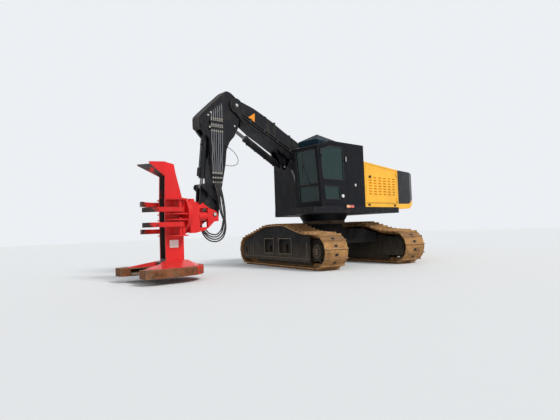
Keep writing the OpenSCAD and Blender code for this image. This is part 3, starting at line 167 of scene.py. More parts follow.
class Finish:
    """A material's node tree, built from the surface back to its texture coordinates."""

    def __init__(self, name):
        material = bpy.data.materials.new(name)
        material.use_nodes = True
        self.tree = material.node_tree
        self.surface = self.tree.nodes["Principled BSDF"]
        self.place = self.add("ShaderNodeTexCoord")
        MATERIALS[name] = material

    def add(self, kind, inputs=None, **settings):
        node = self.tree.nodes.new(kind)
        for key, value in settings.items():
            setattr(node, key, value)
        for key, value in (inputs or {}).items():
            self.put(node.inputs[key], value)
        return node

    def put(self, socket, value):
        if isinstance(value, bpy.types.NodeSocket):
            self.tree.links.new(value, socket)
        else:
            socket.default_value = value

    def set(self, **inputs):
        for key, value in inputs.items():
            self.put(self.surface.inputs[key.replace("_", " ")], value)

    def stretched(self, scale):
        here = self.place.outputs["Object"]
        return self.add("ShaderNodeMapping", {"Vector": here, "Scale": scale}).outputs["Vector"]

    def noise(self, scale, detail, rough=0.6, vector=None):
        where = vector or self.place.outputs["Object"]
        inputs = {"Vector": where, "Scale": scale, "Detail": detail, "Roughness": rough}
        return self.add("ShaderNodeTexNoise", inputs).outputs["Fac"]

    def bands(self, axis, scale, distortion=0.0):
        """Even stripes across an axis."""
        inputs = {"Vector": self.place.outputs["Object"], "Scale": scale, "Distortion": distortion}
        return self.add("ShaderNodeTexWave", inputs, bands_direction=axis).outputs["Fac"]

    def span(self, value, low, high, to_low=0.0, to_high=1.0):
        inputs = {"Value": value, "From Min": low, "From Max": high, "To Min": to_low, "To Max": to_high}
        return self.add("ShaderNodeMapRange", inputs).outputs["Result"]

    def math(self, kind, a, b=0.0, c=0.0):
        return self.add("ShaderNodeMath", {0: a, 1: b, 2: c}, operation=kind).outputs[0]

    def times(self, first, *others):
        for other in others:
            first = self.math("MULTIPLY", first, other)
        return first

    def mix(self, amount, a, b):
        node = self.add("ShaderNodeMix", data_type="RGBA")
        for index, value in ((0, amount), (6, a), (7, b)):
            self.put(node.inputs[index], value)
        return node.outputs[2]

    def position(self):
        """X, Y and Z in the frame."""
        return self.add("ShaderNodeSeparateXYZ", {0: self.place.outputs["Object"]}).outputs

    def facing(self):
        """X, Y and Z of the way that the surface faces."""
        return self.add("ShaderNodeSeparateXYZ", {0: self.place.outputs["Normal"]}).outputs

    def rounded(self, radius):
        return self.add("ShaderNodeBevel", {"Radius": radius}, samples=4).outputs["Normal"]

    def edges(self, radius):
        """1 on edges that a rounded corner of that radius would take, 0 on flat faces."""
        flat = self.add("ShaderNodeNewGeometry").outputs["Normal"]
        inputs = {0: self.rounded(radius), 1: flat}
        alike = self.add("ShaderNodeVectorMath", inputs, operation="DOT_PRODUCT")
        return self.span(alike.outputs["Value"], EDGE_START, EDGE_WHOLE)

    def bump(self, height, strength, distance):
        rounded = self.rounded(SOFT_EDGE)
        inputs = {"Height": height, "Strength": strength, "Distance": distance, "Normal": rounded}
        node = self.add("ShaderNodeBump", inputs)
        self.put(self.surface.inputs["Normal"], node.outputs["Normal"])


def painted(
    name, colour, roughness, dust, chips, streaks, chip=None, coat=0.0, gloss=0.2, second=None, where=None
):
    """Sprayed paint on steel: uneven fade, dust on upward faces, run marks and chipped edges."""
    paint = bpy.context.scene.buncher_paint
    f = Finish(name)
    blotch = f.noise(1.7, 6.0)
    fine = f.noise(38.0, 4.0, 0.7)
    runs = f.noise(3.0, 3.0, 0.5, f.stretched((2.6, 2.6, 0.8)))
    base = colour if second is None else f.mix(where(f), colour, second)
    base = f.mix(f.span(blotch, 0.35, 0.7, 0.0, 0.16), base, BLACK)
    base = f.mix(f.times(f.span(runs, 0.5, 0.85), streaks * 0.5), base, paint.dust)
    splashed = f.times(f.span(f.position()[2], SOIL_END, SOIL_THICK), f.span(fine, 0.38, 0.62), dust)
    base = f.mix(splashed, base, paint.dust)
    patchy = f.span(f.noise(3.5, 8.0, 0.62), 0.15, 0.9, 0.15, 0.75)
    settled = f.times(f.span(f.facing()[2], 0.15, 0.95), patchy, dust)
    base = f.mix(settled, base, paint.dust)
    worn = f.times(f.edges(0.012), f.span(fine, 0.42, 0.6), chips)
    base = f.mix(worn, base, chip or paint.chip)
    f.set(
        Base_Color=base,
        Roughness=f.span(f.math("ADD", fine, blotch), 0.7, 1.35, roughness * 0.8, roughness * 1.35),
        Coat_Weight=coat,
        Specular_IOR_Level=gloss,
    )
    f.bump(f.noise(60.0, 3.0, 0.6), 0.12, 0.002)


def worn_steel(name, colour, polish, metal, mud, trodden=0.0, left_paint=None, where=None):
    """Bare steel gone to rust, rubbed bright on its edges, with dry mud in its hollows."""
    paint = bpy.context.scene.buncher_paint
    f = Finish(name)
    blotch = f.noise(6.0, 8.0, 0.7)
    fine = f.noise(55.0, 6.0, 0.7)
    base = f.mix(f.span(blotch, 0.34, 0.6), lit(colour, 0.30), colour)
    base = f.mix(f.span(fine, 0.5, 0.75, 0, 0.7), base, lit(colour, 1.7, 0.02))
    base = f.mix(f.times(f.span(f.noise(3.1, 6.0), 0.45, 0.7), mud), base, paint.dust)
    if trodden:
        level = f.times(f.span(f.facing()[2], 0.3, 0.9), f.span(blotch, 0.2, 0.8, 0.5, 1.0), trodden)
        base = f.mix(level, base, TRODDEN_MUD)
    if left_paint is not None:
        kept = f.times(where(f), f.span(f.noise(7.0, 8.0, 0.75), 0.52, 0.46))
        base = f.mix(kept, base, left_paint)
    rubbed = f.times(f.edges(0.015), polish)
    f.set(
        Base_Color=f.mix(rubbed, base, BRIGHT_STEEL),
        Metallic=f.span(rubbed, 0, 1, metal * 0.4, metal),
        Roughness=f.span(fine, 0.3, 0.7, 0.55, 0.85),
        Specular_IOR_Level=0.2,
    )
    f.bump(f.math("ADD", blotch, f.times(fine, 0.5)), 0.5, 0.006)


def tinted_glass(name, colour):
    """A tinted pane that lets the far window's light through, with faint smears of dust."""
    f = Finish(name)
    smear = f.noise(7.0, 5.0, 0.6, f.stretched((1.0, 1.0, 0.3)))
    f.set(
        Base_Color=f.mix(f.span(smear, 0.45, 0.85, 0, 0.25), colour, shade(70, 100, 98)),
        Roughness=f.span(smear, 0.4, 0.8, 0.02, 0.10),
        Transmission_Weight=0.6,
        IOR=1.45,
        Specular_IOR_Level=0.15,
    )


def hollow_dark(name):
    """The inside of a hole: packed soil in shadow."""
    f = Finish(name)
    crumbs = f.noise(70.0, 6.0, 0.7)
    f.set(Base_Color=f.mix(f.span(crumbs, 0.3, 0.8), shade(10, 8, 7), shade(34, 26, 20)), Roughness=0.95)
    f.bump(crumbs, 0.6, 0.004)


def plated(name, colour, roughness, metal=1.0):
    """Ground and plated steel with fine turning marks and an oil film."""
    f = Finish(name)
    film = f.noise(14.0, 4.0)
    f.set(
        Base_Color=f.mix(f.span(film, 0.4, 0.75, 0, 0.4), colour, shade(120, 112, 98)),
        Metallic=metal,
        Roughness=f.span(film, 0.3, 0.8, roughness, roughness + 0.18),
    )
    f.bump(f.noise(220.0, 2.0), 0.04, 0.001)


def rubber(name, colour, dust=0.1):
    """Hose rubber: dull, finely ribbed by its wrap, dusty on top."""
    f = Finish(name)
    fade = f.noise(20.0, 5.0)
    base = f.mix(f.span(fade, 0.35, 0.75, 0, dust), colour, bpy.context.scene.buncher_paint.dust)
    f.set(Base_Color=base, Roughness=f.span(fade, 0.3, 0.8, 0.45, 0.8))
    wrap = f.bands("Z", 34.0, 1.2)
    f.bump(f.math("ADD", f.times(wrap, 0.5), fade), 0.25, 0.002)


def woven(name, colour):
    """Seat cloth with a plain weave."""
    f = Finish(name)
    weave = f.times(f.bands("X", 90.0), f.bands("Z", 90.0))
    f.set(Base_Color=f.mix(f.span(weave, 0.2, 0.8, 0, 0.6), colour, lit(colour, 2.2)), Roughness=0.85)
    f.bump(weave, 0.3, 0.002)


def lamp_lens(name, colour):
    """A moulded clear lens with fine ribs over a pale reflector."""
    f = Finish(name)
    ribs = f.bands("X", 40.0)
    f.set(
        Base_Color=f.mix(f.span(ribs, 0.2, 0.8, 0, 0.35), colour, shade(150, 156, 160)),
        Roughness=0.12,
        Coat_Weight=0.6,
    )
    f.bump(ribs, 0.4, 0.002)


# Masks, which say where one finish gives way to another

# The counterweight's foot band: its height, and the lines of the lower edge, as [slope, ahead, height]
BAND_HIGH = 0.156
BAND_EDGES = ((-0.02614, -1.835, 1.58), (-0.29231, -2.60, 1.60))
# Between these places ahead, less a noise of about 0.5 m, the arms' paint gives out
ARM_TIPS = (6.24, 6.36)
# The saw housing keeps its paint behind the first of these and is bare ahead of the second
SAW_PAINT = (5.06, 5.16)
# The pocket that the trunks stand in: half its width, its back and its foot, each with a soft edge
POCKET_HALF = (0.1105, 0.1135)
POCKET_BACK = (5.180, 5.186)
POCKET_FOOT = (0.30, 0.36)
# The horn starts at the first pair of heights, and its crown at the second
HORN_FOOT = (1.87, 1.90)
CROWN_FOOT = (2.55, 2.60)


def below_band(f):
    """1 on the counterweight's foot band, which follows its lower edge, and 0 above it."""
    x, _, z = f.position()
    lines = (
        f.math("MULTIPLY_ADD", x, slope, high - slope * (start + SWING_X))
        for slope, start, high in BAND_EDGES
    )
    edge = f.math("MAXIMUM", *lines)
    return f.span(f.math("SUBTRACT", f.math("ADD", edge, BAND_HIGH), z), -0.001, 0.001)


def arm_tips(f):
    """1 on the working ends of the arms, where the paint is gone."""
    reach = f.math("ADD", f.position()[0], f.noise(9.0, 6.0, 0.7))
    return f.span(reach, *(x + SWING_X for x in ARM_TIPS))


def trunk_wear_and_shade(f):
    """1 where the head goes dark: painted shade together with steel rubbed bare by the trunks in the tower's
    pocket, steel rubbed bare on the horn's inner faces, and painted shade over worn paint on the horn's
    crown.
    """
    x, y, z = f.position()
    _, across, up = f.facing()
    inside = f.span(f.math("ABSOLUTE", y), *reversed(POCKET_HALF))
    before_back = f.span(x, *(v + SWING_X for v in POCKET_BACK))
    # Painted shade in the pocket's recess, together with steel that the trunks rub bare
    pocket = f.times(inside, before_back, f.span(z, *POCKET_FOOT))
    inward = f.span(f.times(y, across), -0.03, -0.05)
    patchy = f.span(f.noise(4.0, 7.0, 0.7), 0.62, 0.52)
    horn = f.times(inward, patchy, f.span(z, *HORN_FOOT))
    # Painted shade on the crown's upward faces, over worn paint
    crown = f.times(f.span(up, 0.1, 0.3), f.span(z, *CROWN_FOOT))
    return f.math("MAXIMUM", f.math("MAXIMUM", pocket, horn), crown)


def behind_saw(f):
    """1 on the rear of the saw housing, where its paint is still there."""
    return f.span(f.position()[0], *(x + SWING_X for x in reversed(SAW_PAINT)))


# Solids whose finish is a variant of their slot's
OWN_FINISH = {"counterweight": "counterweight", "roof_window": "roof_glass"}


class BUNCHER_OT_finishes(bpy.types.Operator):
    """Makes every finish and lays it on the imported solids"""

    bl_idname = "buncher.finishes"
    bl_label = "Finishes"

    def execute(self, context):
        paint = context.scene.buncher_paint
        self.undercarriage(paint)
        self.upper_works(paint)
        self.arm(paint)
        self.felling_head(paint)
        self.small_parts()
        self.on_solids()
        return {"FINISHED"}

    def undercarriage(self, paint):
        painted("undercarriage_black", shade(20, 19, 20), roughness=0.7, dust=0.55, chips=0.9, streaks=0.3,
                chip=shade(112, 98, 84))
        worn_steel("track_steel", paint.rust, polish=0.5, metal=0.6, mud=0.35, trodden=0.9)
        worn_steel("roller_steel", shade(84, 66, 52), polish=0.5, metal=0.6, mud=0.5)
        # Pale worn steel for the strips along the guard's edges: painted highlight of those edges, in a
        # rubbed steel finish
        worn_steel("edge_highlight_steel", shade(118, 108, 94), polish=0.6, metal=0.3, mud=0.5)

    def upper_works(self, paint):
        painted("frame_black", paint.black, roughness=0.5, dust=0.5, chips=0.4, streaks=0.2)
        painted("cab_black", paint.black, roughness=0.4, dust=0.15, chips=0.25, streaks=0.06,
                coat=0.05, gloss=0.1)
        tinted_glass("tinted_glass", paint.glass)
        painted("roof_glass", shade(24, 46, 58), roughness=0.6, dust=0.25, chips=0.1, streaks=0.1, gloss=0.04)
        woven("seat_fabric", shade(44, 44, 48))
        painted("hood_yellow", paint.yellow, roughness=0.38, dust=0.2, chips=0.15, streaks=0.1, coat=0.25)
        painted("engine_grey", shade(86, 86, 88), roughness=0.6, dust=0.4, chips=0.3, streaks=0.3)
        painted("counterweight", paint.black, roughness=0.45, dust=0.3, chips=0.3, streaks=0.2, coat=0.1,
                second=paint.yellow, where=below_band)

    def arm(self, paint):
        painted("boom_black", paint.black, roughness=0.42, dust=0.35, chips=0.45, streaks=0.25, coat=0.1)
        painted("pipe_black", shade(44, 44, 46), roughness=0.45, dust=0.4, chips=0.5, streaks=0.2)
        plated("chrome_rod", shade(112, 112, 114), roughness=0.26)
        rubber("hose_rubber", shade(26, 26, 27), dust=0.12)
        # Grey hose rubber whose light colour paints the sky's reflection along the hoses: painted reflection
        rubber("hose_painted_reflection", shade(96, 97, 102))

    def felling_head(self, paint):
        # The second colour is painted shade in the tower's pocket and on the horn's crown, with steel rubbed
        # bare by the trunks
        painted("head_red", paint.red, roughness=0.4, dust=0.08, chips=0.85, streaks=0.15,
                chip=shade(70, 54, 50), coat=0.15, second=shade(66, 62, 60), where=trunk_wear_and_shade)
        worn_steel("head_rust", shade(132, 80, 48), polish=0.6, metal=0.6, mud=0.4,
                   left_paint=paint.red, where=behind_saw)
        worn_steel("saw_steel", shade(120, 104, 88), polish=0.8, metal=0.9, mud=0.2)
        painted("arm_red", shade(214, 40, 38), roughness=0.55, dust=0.2, chips=1.0, streaks=0.3,
                chip=shade(60, 50, 46), second=shade(52, 42, 38), where=arm_tips)

    def small_parts(self):
        plated("zinc", shade(202, 200, 192), roughness=0.36, metal=0.25)
        plated("dull_zinc", shade(158, 154, 142), roughness=0.45, metal=0.2)
        rubber("gasket", shade(22, 22, 23))
        hollow_dark("shadow")
        lamp_lens("lamp_lens", shade(238, 238, 232))
        lamp_lens("amber_lens", shade(248, 168, 112))
        lamp_lens("red_lens", shade(226, 70, 50))
        painted("marker_orange", shade(246, 150, 40), roughness=0.4, dust=0.1, chips=0.2, streaks=0.1)
        painted("blank_white", shade(242, 238, 230), roughness=0.5, dust=0.05, chips=0.3, streaks=0.15)

    def on_solids(self):
        slots = {part["node"]: part["material_slot"] for part in FRAME["record"]["subparts"]}
        for node, solid in FRAME["nodes"].items():
            if not solid.material_slots:
                solid.data.materials.append(None)
            for slot in solid.material_slots:
                slot.material = MATERIALS[OWN_FINISH.get(node, slots[node])]


# Mesh building

# Faces that meet at more than this angle keep a sharp edge
SHARP_FROM = math.radians(35)
# A curve's steps from one given point to the next
RUN_STEPS = 6


def smooth_run(points):
    """A curve through the given points, as a list of closer ones."""
    p = [Vector(v) for v in points]
    p = [2 * p[0] - p[1]] + p + [2 * p[-1] - p[-2]]
    run = []
    for a, b, c, d in zip(p, p[1:], p[2:], p[3:]):
        for i in range(RUN_STEPS):
            t = i / RUN_STEPS
            run.append(
                0.5 * (2 * b + (c - a) * t + (2 * a - 5 * b + 4 * c - d) * t**2
                       + (3 * b - a - 3 * c + d) * t**3)
            )
    return run + [p[-2]]


class Shape:
    """Gathers the faces of one piece until it is made."""

    def __init__(self):
        self.points = []
        self.faces = []

    def add(self, points, faces):
        start = len(self.points)
        self.points += [Vector(p) for p in points]
        self.faces += [tuple(start + i for i in face) for face in faces]

    def skin(self, rings):
        """Skins a run of equal rings and closes both ends."""
        n, count = len(rings[0]), len(rings)
        faces = [
            (k * n + i, k * n + (i + 1) % n, (k + 1) * n + (i + 1) % n, (k + 1) * n + i)
            for k in range(count - 1)
            for i in range(n)
        ]
        faces += [tuple(reversed(range(n))), tuple(range((count - 1) * n, count * n))]
        self.add([p for ring in rings for p in ring], faces)

    def turned(self, place, axis, profile, sides):
        """A turned form; its profile lists distances along the axis with their radii."""
        turn = Vector(axis).to_track_quat("Z", "Y")
        angles = [2 * math.pi * i / sides for i in range(sides)]
        self.skin(
            [
                [Vector(place) + turn @ Vector((r * math.cos(a), r * math.sin(a), h)) for a in angles]
                for h, r in profile
            ]
        )

    def bolt(self, place, axis, r):
        """A washer and a chamfered hexagon head."""
        self.turned(place, axis, [(-0.002, r * 1.3), (r * 0.18, r * 1.3), (r * 0.22, r * 1.2)], 12)
        self.turned(place, axis, [(r * 0.2, r), (r * 0.8, r), (r * 0.95, r * 0.82)], 6)

    def bolt_circle(self, centre, axis, radius, count, r):
        """Equal bolts round a flange."""
        turn = Vector(axis).to_track_quat("Z", "Y")
        for i in range(count):
            a = 2 * math.pi * i / count
            spot = Vector((radius * math.cos(a), radius * math.sin(a), 0))
            self.bolt(Vector(centre) + turn @ spot, axis, r)

    def sweep(self, run, radius, sides):
        """A round bar or hose along a run of points."""
        rings = []
        last_heading = (run[1] - run[0]).normalized()
        side = last_heading.orthogonal().normalized()
        for i, point in enumerate(run):
            a, b = run[max(i - 1, 0)], run[min(i + 1, len(run) - 1)]
            heading = (b - a).normalized()
            side = (last_heading.rotation_difference(heading) @ side).normalized()
            last_heading = heading
            other = heading.cross(side)
            rings.append(
                [
                    point + radius * (math.cos(t) * side + math.sin(t) * other)
                    for t in (2 * math.pi * k / sides for k in range(sides))
                ]
            )
        self.skin(rings)

    def slab(self, outline, depth):
        """A plate of that outline, thickened by the vector depth."""
        points = [Vector(p) for p in outline]
        self.skin([points, [p + Vector(depth) for p in points]])

    def block(self, centre, size, turn=None, edge=0.004):
        """A block whose edges are cut back."""
        x, y, z = (s / 2 for s in size)
        turn = turn or Matrix.Identity(3)
        e = min(edge, x * 0.8, y * 0.8, z * 0.8)

        def ring(wide, deep, high):
            corners = ((1, 1), (-1, 1), (-1, -1), (1, -1))
            out = []
            for i, (sx, sy) in enumerate(corners):
                near, far = (wide - e, deep), (wide, deep - e)
                first, last = (far, near) if i % 2 == 0 else (near, far)
                out += [(sx * first[0], sy * first[1], high), (sx * last[0], sy * last[1], high)]
            return [Vector(centre) + turn @ Vector(p) for p in out]

        self.skin([ring(x - e, y - e, -z), ring(x, y, -z + e), ring(x, y, z - e), ring(x - e, y - e, z)])

    def make(self, name, finish, body=None):
        form = bmesh.new()
        points = [form.verts.new(p) for p in self.points]
        for face in self.faces:
            form.faces.new([points[i] for i in face])
        bmesh.ops.recalc_face_normals(form, faces=form.faces)
        mesh = bpy.data.meshes.new(name)
        form.to_mesh(mesh)
        form.free()
        mesh.polygons.foreach_set("use_smooth", [True] * len(mesh.polygons))
        mesh.set_sharp_from_angle(angle=SHARP_FROM)
        mesh.materials.append(MATERIALS[finish])
        piece = bpy.data.objects.new(name, mesh)
        bpy.context.scene.collection.objects.link(piece)
        if body:
            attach(piece, body)
        return piece


# Hoses. Runs in the machine's middle plane are lists of [ahead, height].

DECK_RISE = [
    (-0.085, 1.66), (-0.09, 2.05), (-0.09, 2.40), (-0.075, 2.72), (0.01, 2.94), (0.16, 3.02), (0.32, 3.03),
]
BOOM_TOP = [(0.32, 3.030), (0.78, 3.292), (1.216, 3.537), (1.753, 3.790), (2.195, 4.039), (2.352, 4.108)]
# The bundle leaves the boom's clamp, arches over the nose and lies on the stick's guard.
NOSE_ARCH = [
    (2.352, 4.108), (2.50, 4.176), (2.70, 4.263), (2.90, 4.336), (3.08, 4.386), (3.22, 4.420),
    (3.34, 4.478), (3.44, 4.552), (3.55, 4.604), (3.64, 4.608), (3.72, 4.563), (3.90, 4.405),
    (4.08, 4.245), (4.26, 4.080), (4.42, 3.928), (4.480, 3.850), (4.486, 3.740), (4.484, 3.640),
    (4.468, 3.592), (4.430, 3.590), (4.410, 3.640),
]
# The bundle's hoses lie side by side at one pitch over the nose, and spread round the boom's lugs at another
BUNDLE = 8
HOSE_PITCH = 0.035
LUG_CLEAR, SPREAD_PITCH = 0.080, 0.0345
# Hoses on the stick's side: how far out they lie, their first lane above and below, and the lanes' pitch
STICK_ROWS = 6
ROW_OUT = 0.186
TOP_LANE, TOP_PITCH = 3.845, 0.062
LOW_LANE, LOW_PITCH = 3.895, 0.051
SWAY = 0.013
# The stick's guard over those lanes: its height at one place ahead, and its fall for each metre
STICK_GUARD_AHEAD, STICK_GUARD_HIGH, STICK_GUARD_FALL = 3.60, 4.40, 0.80
# Fittings on those hoses, by height
FITTINGS = (3.87, 3.82, 3.71, 3.66, 3.56, 2.52, 2.40, 2.29)
# Bars over those hoses, as [ahead, height, width], and how far out they lie
BAR_OUT = 0.205
STICK_BARS = ((4.0, 3.775, 0.40), (3.995, 3.62, 0.40), (4.03, 2.45, 0.30), (4.03, 2.345, 0.30))
# Hoses round the wrist: how far out they lie, every other one further, and how low their loops hang
WRIST_HOSES = 4
WRIST_OUT, WRIST_STAGGER = 0.285, 0.012
LOOP_LOW, LOOP_PITCH = 0.835, 0.055
# The thin hose's radius and its run, as [ahead, across, height]
THIN_HOSE = 0.0075
THIN_LOOP = [
    (3.90, 0.178, 3.27), (3.80, 0.180, 3.25), (3.71, 0.182, 3.19), (3.60, 0.18, 3.145),
    (3.47, 0.175, 3.06), (3.385, 0.17, 2.96), (3.355, 0.168, 2.86), (3.40, 0.168, 2.775),
    (3.52, 0.17, 2.725), (3.65, 0.175, 2.715), (3.76, 0.180, 2.725), (3.84, 0.178, 2.77),
]


def hose_radius():
    return bpy.context.scene.buncher_sizes.hose / 2


def spread(i):
    """How far a hose of the bundle lies from the middle, clear of the boom's lifting lugs."""
    k = i - BUNDLE // 2
    return LUG_CLEAR + SPREAD_PITCH * k if k >= 0 else -LUG_CLEAR + SPREAD_PITCH * (k + 1)


class BUNCHER_OT_hoses(bpy.types.Operator):
    """Adds the hoses along the boom, over its nose, down the stick and to the head"""

    bl_idname = "buncher.hoses"
    bl_label = "Hoses"

    def execute(self, context):
        self.over_the_boom()
        self.down_the_stick()
        self.round_the_wrist()
        self.thin_loop()
        return {"FINISHED"}

    def over_the_boom(self):
        """A bundle that spreads to pass the lugs on the boom and draws together over the nose."""
        r = hose_radius()
        rise, top, arch = Shape(), Shape(), Shape()
        for i in range(BUNDLE):
            wide, near = spread(i), (i - (BUNDLE - 1) / 2) * HOSE_PITCH
            rise.sweep(smooth_run([ahead(x, wide, z) for x, z in DECK_RISE]), r, 8)
            lanes = [wide] * (len(BOOM_TOP) - 2) + [(wide + near) / 2, near]
            top.sweep(smooth_run([ahead(x, y, z) for (x, z), y in zip(BOOM_TOP, lanes)]), r, 8)
            arch.sweep(smooth_run([ahead(x, near, z) for x, z in NOSE_ARCH]), r, 10)
        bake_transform(rise.make("deck_hoses", "hose_rubber"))
        top.make("boom_top_hoses", "hose_rubber", "boom")
        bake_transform(arch.make("nose_hoses", "hose_rubber"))

    def down_the_stick(self):
        """Hoses on the stick's side, in place of the plain rows that stand for them."""
        r = hose_radius()
        wobble = random.Random(7)
        hoses, fittings, bars = Shape(), Shape(), Shape()
        sleeve = [(0, r + 0.001), (0.003, r + 0.004), (0.034, r + 0.004), (0.038, r + 0.001)]
        for i in range(STICK_ROWS):
            top, low = TOP_LANE + TOP_PITCH * i, LOW_LANE + LOW_PITCH * i
            under_guard = STICK_GUARD_HIGH - (top - STICK_GUARD_AHEAD) * STICK_GUARD_FALL
            line = [
                (top - 0.03, 0.125, under_guard + 0.10), (top - 0.02, 0.165, under_guard + 0.01),
                (top, ROW_OUT, under_guard - 0.10), (top, ROW_OUT, 3.84), (top - 0.005, ROW_OUT, 3.62),
            ]
            for share, z in ((0.2, 3.36), (0.4, 3.10), (0.6, 2.86), (0.8, 2.66)):
                lane = top * (1 - share) + low * share + wobble.uniform(-SWAY, SWAY)
                line.append((lane, ROW_OUT + 0.001, z))
            line += [(low, ROW_OUT, 2.48), (low + 0.005, ROW_OUT, 2.30)]
            hoses.sweep(smooth_run([ahead(*p) for p in line]), r, 10)
            for z in FITTINGS:
                fittings.turned(ahead(top if z > 3 else low, ROW_OUT, z - 0.03), (0, 0, 1), sleeve, 6)
        for x, z, wide in STICK_BARS:
            bars.block(ahead(x, BAR_OUT, z), (wide, 0.012, 0.05))
            for s in (-1, 1):
                end = x + s * (wide / 2 - 0.01)
                bars.block(ahead(end, BAR_OUT - 0.020, z), (0.02, 0.05, 0.05))
                bars.bolt(ahead(end, BAR_OUT + 0.006, z), (0, 1, 0), 0.011)
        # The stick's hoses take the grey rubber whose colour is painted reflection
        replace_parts(hoses.make("stick_side_hoses", "hose_painted_reflection", "stick"), "stick_hoses")
        fittings.make("stick_hose_fittings", "dull_zinc", "stick")
        bars.make("stick_hose_clamps", "boom_black", "stick")

    def round_the_wrist(self):
        """Four hoses that pass outside the links, hang in a loop and enter the bracket from below."""
        shape = Shape()
        for i in range(WRIST_HOSES):
            low = LOW_LANE + LOW_PITCH * (i + 1)
            y = WRIST_OUT + WRIST_STAGGER * (i % 2)
            deep = LOOP_LOW + LOOP_PITCH * i
            line = [
                (low + 0.005, ROW_OUT, 2.34), (low + 0.02, 0.20, 2.22), (low + 0.03, y - 0.02, 2.09),
                (low + 0.01, y, 1.95), (low - 0.02, y, 1.78), (low - 0.045, y, 1.58),
                (3.90 + 0.022 * i, y, 1.36), (3.885 + 0.028 * i, y - 0.01, deep + 0.32),
                (3.94 + 0.026 * i, y - 0.02, deep + 0.13), (4.06 + 0.018 * i, y - 0.03, deep + 0.025),
                (4.20, y - 0.05, deep), (4.34, y - 0.07, deep + 0.040),
                (4.455, y - 0.10, deep + 0.15), (4.49, 0.14, 1.12), (4.50, 0.13, 1.24),
            ]
            shape.sweep(smooth_run([ahead(*p) for p in line]), hose_radius(), 10)
        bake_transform(shape.make("wrist_hoses", "hose_rubber"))

    def thin_loop(self):
        shape = Shape()
        shape.sweep(smooth_run([ahead(*p) for p in THIN_LOOP]), THIN_HOSE, 8)
        shape.make("thin_hose_loop", "hose_rubber", "stick")


# Undercarriage fittings

SHOE_WIDTH = 0.700
# A shoe's outer plate is longer along the track than its grouser's tip and shorter than its inner side
SHORTEST_PLATE, LONGEST_PLATE = 0.085, 0.170
# Each shoe's bolts: how far from its middle, across the track and as a share of its plate's length
BOLT_ACROSS, BOLT_SHARE = 0.078, 0.16
# A mud hole's height as a share of its width, and the width of its rim
HOLE_HIGH, HOLE_RIM = 0.72, 0.008
# Hubs as [along the track, height], the final drive's ring of bolts and the idler's cap
DRIVE_HUB, DRIVE_RING = (-1.960, 0.480), 0.145
IDLER_HUB, IDLER_CAP_OUT = (1.978, 0.462), 0.262
# The guard's outer face, its step pockets along the track with their heights, and its ribs
GUARD_OUT = 0.290
POCKETS = [(0.230, 0.770), (-0.740, -0.080)]
POCKET_LOW, POCKET_HIGH = 0.390, 0.800
POCKET_BOLTS = (0.376, 0.51, 0.68, 0.814)
GUARD_RIBS = (-1.525, 1.530)
RIB_MIDDLE, RIB_TALL = 0.49, 0.41
# The lower rail's bolts: how many, the first along the track, their pitch and height
RAIL_BOLTS = 12
RAIL_BOLT_FIRST, RAIL_BOLT_PITCH, RAIL_BOLT_HIGH = -1.50, 0.30, 0.238
# The lower rail's pale edge strip, a painted highlight in rubbed steel: its middle along the track, its
# height and its length
RAIL_EDGE, RAIL_EDGE_HIGH, RAIL_EDGE_LONG = 0.30, 0.280, 3.82


class BUNCHER_OT_shoes(bpy.types.Operator):
    """Adds the bolts and the square mud holes of every track shoe"""

    bl_idname = "buncher.shoes"
    bl_label = "Shoe bolts and holes"

    def execute(self, context):
        w = context.scene.buncher_sizes.mud_hole
        h = w * HOLE_HIGH
        across = Vector((-math.sin(TRACK_HEADING), math.cos(TRACK_HEADING), 0))
        for label in ("left", "right"):
            bolts, holes, rims = Shape(), Shape(), Shape()
            for place, normal, length in self.shoe_faces(FRAME["nodes"]["track_" + label], across):
                run = across.cross(normal).normalized()
                turn = Matrix((across, run, across.cross(run))).transposed()
                for s in (-1, 1):
                    for t in (-BOLT_SHARE, BOLT_SHARE):
                        bolts.bolt(place + across * s * BOLT_ACROSS + run * length * t, normal, 0.014)
                # Each mud hole is a thin dark plate on the shoe: painted shade of the hole, over packed soil
                holes.block(place + normal * 0.0015, (w, h, 0.003), turn, 0.001)
                for s in (-1, 1):
                    beside = place + across * s * (w + HOLE_RIM) / 2
                    beyond = place + run * s * (h + HOLE_RIM) / 2
                    rims.block(beside, (HOLE_RIM, h + 2 * HOLE_RIM, 0.007), turn, 0.002)
                    rims.block(beyond, (w + 2 * HOLE_RIM, HOLE_RIM, 0.007), turn, 0.002)
            bolts.make("shoe_bolts_" + label, "track_steel", "undercarriage")
            holes.make("shoe_holes_" + label, "shadow", "undercarriage")
            rims.make("shoe_hole_rims_" + label, "track_steel", "undercarriage")
        return {"FINISHED"}

    def shoe_faces(self, solid, across):
        """The outer plate of each shoe as its middle, its normal and its length along the track."""
        mesh = solid.data
        planes = {}
        for face in mesh.polygons:
            corners = [mesh.vertices[i].co for i in face.vertices]
            lanes = [c.dot(across) for c in corners]
            if max(lanes) - min(lanes) < SHOE_WIDTH - 0.02 or abs(face.normal.dot(across)) > 0.01:
                continue
            normal = face.normal.copy()
            height = normal.dot(corners[0])
            steps = [c.dot(across.cross(normal)) for c in corners]
            key = tuple(round(v, 2) for v in normal) + (round(height, 3),)
            lane = (max(lanes) + min(lanes)) / 2
            planes.setdefault(key, []).append((min(steps), max(steps), normal, height, lane))
        for faces in planes.values():
            plates = []
            for low, high, normal, height, lane in sorted(faces, key=lambda face: face[0]):
                if plates and low < plates[-1][1] + 0.002:
                    plates[-1][1] = max(plates[-1][1], high)
                else:
                    plates.append([low, high, normal, height, lane])
            for low, high, normal, height, lane in plates:
                if SHORTEST_PLATE < high - low < LONGEST_PLATE:
                    run = across.cross(normal)
                    yield normal * height + run * (low + high) / 2 + across * lane, normal, high - low


